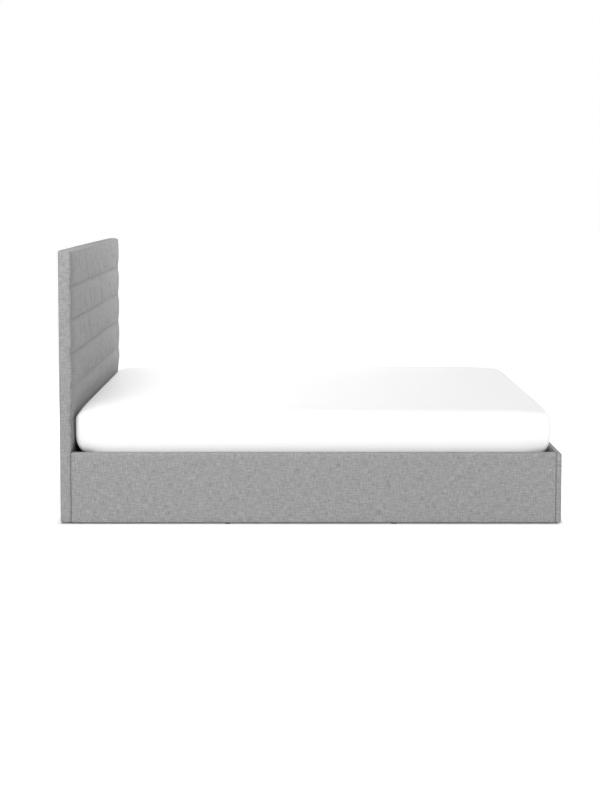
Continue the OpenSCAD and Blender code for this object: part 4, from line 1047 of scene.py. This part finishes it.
def mattress():
    cx, hx, hy = (MX0 + MX1) / 2, (MX1 - MX0) / 2, MY
    rc = 20.0
    pts, corners = ring_path(96, 72, 14)
    N = len(pts)
    perimeter = np.linspace(0, 1, N, endpoint=False) * (2 * (2 * hx + 2 * hy))

    def settle(P, z_hi):
        """The soft mattress's own shape: corners drawn in at the bottom and lower at the top, ends a little full."""
        x, y, z = P[:, 0], P[:, 1], P[:, 2]
        ex, ey = hx - np.abs(x - cx), hy - np.abs(y)
        near = np.exp(-((np.maximum(ex, 0) / 75.0) ** 2) - ((np.maximum(ey, 0) / 75.0) ** 2))
        s_ = np.clip((361.0 - z) / 68.0, 0, 1)
        draw = (33.0 * (1 - np.sqrt(1 - s_ * s_)) + 8.0 * np.clip((295.0 - z) / 31.0, 0, 1)) * near * np.where(x > cx, 0.8, 1.0)
        high = smooth((z - (MZ1 - 90.0)) / 60.0)
        drop = 9.0 * np.exp(-(ex**2 + ey**2) / 110.0**2) + 2.0 * np.exp(-(np.minimum(ex, ey) / 60.0) ** 2)
        rise = 3.0 * np.clip(1 - (np.abs(x - cx) / hx) ** 4, 0, 1) * np.clip(1 - (np.abs(y) / hy) ** 4, 0, 1)
        belly = np.clip(1 - ((z - 400.0) / 78.0) ** 2, 0, 1)
        Q = P.copy()
        Q[:, 0] += -np.sign(x - cx) * draw * (ex < 200) + np.sign(x - cx) * belly * np.exp(-((ex / 60.0) ** 2)) * np.where(x < cx, 2.6, 0.6)
        Q[:, 1] += -np.sign(y) * draw * 0.55 + np.sign(y) * belly * 1.2 * np.exp(-((ey / 60.0) ** 2))
        Q[:, 2] += (rise - drop) * high
        return Q

    def build(name, inset, rt, rb, hem, thick, mat, z_lo, z_hi, detail):
        prof = []
        # from the hem under the mattress, out along the underside, round the lower edge, up the side and over the top edge
        if hem:
            for o in np.linspace(hem, rb, 8):
                prof.append((o, z_lo, 0.0, -1.0))
        for a in np.linspace(0, 90, 8)[(1 if hem else 0):]:
            a = math.radians(a)
            prof.append((rb - rb * math.sin(a), z_lo + rb - rb * math.cos(a), -math.sin(a), -math.cos(a)))
        for zz in np.linspace(z_lo + rb, z_hi - rt, 14)[1:-1]:
            prof.append((0.0, zz, -1.0, 0.0))
        for a in np.linspace(0, 90, 12):
            a = math.radians(a)
            prof.append((rt - rt * math.cos(a), z_hi - rt + rt * math.sin(a), -math.cos(a), math.sin(a)))
        rows = []
        rows_in = []
        seams = []
        for (o, zz, no, nz) in prof:
            oo = o + inset
            R = max(rc - oo, 6.0)
            base = ring(pts, corners, hx - oo, hy - oo, R, cx)
            nrm = np.array([[p[2], p[3]] for p in pts])
            s_side = np.clip(1 - ((zz - (z_lo + z_hi) / 2) / ((z_hi - z_lo) / 2)) ** 2, 0, 1)
            d = np.zeros(N)
            if detail == "sheet":
                # the sheet lies close, with small pulls low on the sides where its elastic gathers it
                low = math.exp(-(((zz - z_lo) / 55.0) ** 2))
                d = -0.25 + 0.5 * fbm(perimeter / 190.0, zz / 90.0, 101) * s_side
                d += -0.55 * low * (0.5 + 0.5 * vnoise(perimeter / 21.0, zz / 160.0, 103)) - 0.3 * low * (0.5 + 0.5 * vnoise(perimeter / 9.0, zz / 90.0, 105))
            else:
                d = -0.3 + 0.3 * fbm(perimeter / 160.0, zz / 80.0, 111) * s_side
            if no < 0:
                base = base + nrm * d[:, None] * (-no)
            zrow = np.full(N, zz)
            if hem and o > rb - 1 and nz < -0.5:
                gather = smooth((o - 35.0) / 40.0)
                zrow = zz + 0.2 + 0.8 * gather * (0.5 + 0.5 * vnoise(perimeter / 8.0, o / 60.0, 107))
                wob = 3.0 * gather * vnoise(perimeter / 26.0, 0.0, 109)
                base = base - nrm * wob[:, None] * 0.5
            rows.append(np.column_stack([base, zrow]))
            if thick:
                nn = np.column_stack([nrm * (-no), np.full(N, nz)])
                rows_in.append(rows[-1] - nn * thick)
        V = [np.concatenate(rows)]
        polys = []
        R = len(rows)

        def strip(a0, b0, flip=False):
            for j in range(N):
                k = (j + 1) % N
                q = [a0 + j, a0 + k, b0 + k, b0 + j]
                polys.append(q[::-1] if flip else q)

        for i in range(R - 1):
            strip(i * N, (i + 1) * N)

        def cap(start, z_of, flip, count, steps=16):
            """Closes a ring with smaller and smaller rings that end in a line along the middle."""
            first_ring = count - 0
            ringP = start[0]
            prev = start[1]
            new = []
            mid_x = np.clip(ringP[:, 0], cx - (hx - hy), cx + (hx - hy))
            mid_y = np.zeros(N)
            for s_ in range(1, steps):
                t = (s_ / steps)
                px = ringP[:, 0] * (1 - t) + mid_x * t
                py = ringP[:, 1] * (1 - t) + mid_y * t
                new.append(np.column_stack([px, py, z_of(px, py, t)]))
                cur = first_ring + (s_ - 1) * N
                strip(prev, cur, flip)
                prev = cur
            # the last ring is a narrow band: its long sides are joined across, its two ends are closed with one face
            V.append(np.concatenate(new))
            m0 = half = 14 + 36
            band = [[(m0 - k) % N, (m0 + k) % N, (m0 + k + 1) % N, (m0 - k - 1) % N] for k in range(half, N // 2 - half)]
            band += [[(m + j) % N for j in range(-half, half + 1)] for m in (m0, m0 + N // 2)]
            for q in band:
                q = [prev + v for v in q]
                polys.append(q[::-1] if flip else q)
            return first_ring + (steps - 1) * N

        total = R * N

        def z_top(px, py, t):
            soft = 0.35 * fbm(px / 330.0, py / 330.0, 121) + 0.12 * vnoise(px / 60.0, py / 60.0, 123)
            return z_hi + smooth(np.full(N, t) * 4) * (soft - 0.1)

        total = cap((rows[-1], (R - 1) * N), z_top, False, total)
        if thick:
            base_in = total
            V.append(np.concatenate(rows_in))
            for i in range(R - 1):
                strip(base_in + i * N, base_in + (i + 1) * N, True)
            strip(base_in, 0, False)
            total = base_in + R * N
            total = cap((rows_in[-1], base_in + (R - 1) * N), lambda px, py, t: z_top(px, py, t) - thick, True, total)
        else:
            def z_bottom(px, py, t):
                # shallow diamonds where the ticking is quilted
                a = (px + py) / 95.0
                b = (px - py) / 95.0
                q = np.minimum(np.abs(a - np.round(a)), np.abs(b - np.round(b)))
                return z_lo - 0.0 + 1.2 * np.exp(-((q / 0.07) ** 2)) * smooth(np.full(N, t) * 6)

            total = cap((rows[0], 0), z_bottom, True, total, steps=60)
        A = settle(np.concatenate(V), z_hi)
        V2, pl, first = weld(A, [polys])
        ob = mesh(name, V2, pl, {"painted_shading": np.zeros(len(V2))}, mat=mat)
        return ob

    core = build("mattress_body", 3.5, 34.7, 22.0, 0, 0, MATS["ticking"], MZ0 + 3.5, MZ1 - 3.5, "core")
    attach(core, "platform")
    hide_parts("mattress_core")
    cover = build("mattress_cover_sheet", 0.0, 38.0, 25.0, 84.0, 1.3, MATS["mattress_fabric"], MZ0, MZ1, "sheet")
    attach(cover, "platform")
    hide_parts("mattress_cover")
    return core, cover


# ---------------------------------------------------------------- pull strap
def pull_strap():
    """A doubled webbing loop at the foot end, sewn near its root."""
    t, w = 1.4, 19.6
    path = [(2058.9, 215.0), (2058.9, 225.0), (2059.2, 233.0), (2060.6, 241.0), (2061.3, 250.0), (2061.3, 290.0), (2061.3, 340.0), (2061.4, 385.0), (2061.4, 408.0)]
    top = [(2062.6 - 1.2 * math.cos(math.radians(a)), 412.0 + 5.0 * math.sin(math.radians(a))) for a in (30, 60, 90, 120, 150)]
    back = [(2063.8, 408.0), (2063.8, 385.0), (2063.8, 340.0), (2063.8, 290.0), (2063.8, 256.0), (2063.5, 244.0), (2062.6, 236.0), (2061.0, 230.0), (2060.6, 222.0), (2060.6, 216.0)]
    C = np.array(path + top + back)
    T = np.gradient(C, axis=0)
    T /= np.linalg.norm(T, axis=1)[:, None]
    Nn = np.column_stack([T[:, 1], -T[:, 0]])
    prof = [(-w, -0.35), (-w + 0.5, -0.7), (-w / 2, -0.7), (0, -0.7), (w / 2, -0.7), (w - 0.5, -0.7), (w, -0.35), (w, 0.35), (w - 0.5, 0.7), (w / 2, 0.7), (0, 0.7), (-w / 2, 0.7), (-w + 0.5, 0.7), (-w, 0.35)]
    V, polys, U, Vv = [], [], [], []
    s = np.concatenate([[0], np.cumsum(np.linalg.norm(np.diff(C, axis=0), axis=1))])
    for i in range(len(C)):
        for (py, q) in prof:
            V.append((C[i, 0] + Nn[i, 0] * q * t / 1.4, py, C[i, 1] + Nn[i, 1] * q * t / 1.4))
            U.append(py * 0.001)
            Vv.append(s[i] * 0.001)
    m = len(prof)
    for i in range(len(C) - 1):
        for j in range(m):
            k = (j + 1) % m
            polys.append([i * m + j, i * m + k, (i + 1) * m + k, (i + 1) * m + j])
    polys.append([j for j in range(m)][::-1])
    polys.append([(len(C) - 1) * m + j for j in range(m)])
    ob = mesh("pull_strap_webbing", np.array(V), polys, flat_uv=(np.array(U), np.array(Vv)), mat=MATS["webbing"])
    face_out(ob)
    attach(ob, "platform")
    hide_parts("pull_strap")
    return ob


headboard()
rail(-1, "side_rail_right_cover_padded", "side_rail_right_cover")
rail(1, "side_rail_left_cover_padded", "side_rail_left_cover")
foot_panel()
back_lining()
staples()
mattress()
pull_strap()


# ---------------------------------------------------------------- the floor
GLOW = 0.47


def studio_floor():
    s = Shader("studio_floor")
    cloud = s.noise(s.coords(), scale=0.6, detail=2.0)
    c = s.mix(s.range(cloud, 0.3, 0.7, 0.0, 1.0), rgb(0.80), rgb(0.81))
    # the floor glows white, but the glow is left out under the bed: a painted shadow of the bed's footprint
    x, y, _ = s.xyz(s.coords())
    away = s.math("MAXIMUM", s.math("SUBTRACT", s.math("ABSOLUTE", x), 1.05), s.math("SUBTRACT", s.math("ABSOLUTE", y), 0.80))
    s.done(Base_Color=c, Roughness=0.85, Specular_IOR_Level=0.1, Emission_Color=rgb(1.0), Emission_Strength=s.range(away, -0.012, 0.03, 0.0, GLOW))
    me = bpy.data.meshes.new("studio_floor")
    r = 40.0
    me.from_pydata([(-r, -r, -0.0004), (r, -r, -0.0004), (r, r, -0.0004), (-r, r, -0.0004)], [], [[0, 1, 2, 3]])
    me.materials.append(s.mat)
    ob = bpy.data.objects.new("studio_floor", me)
    scene.collection.objects.link(ob)


studio_floor()

bpy.context.view_layer.update()
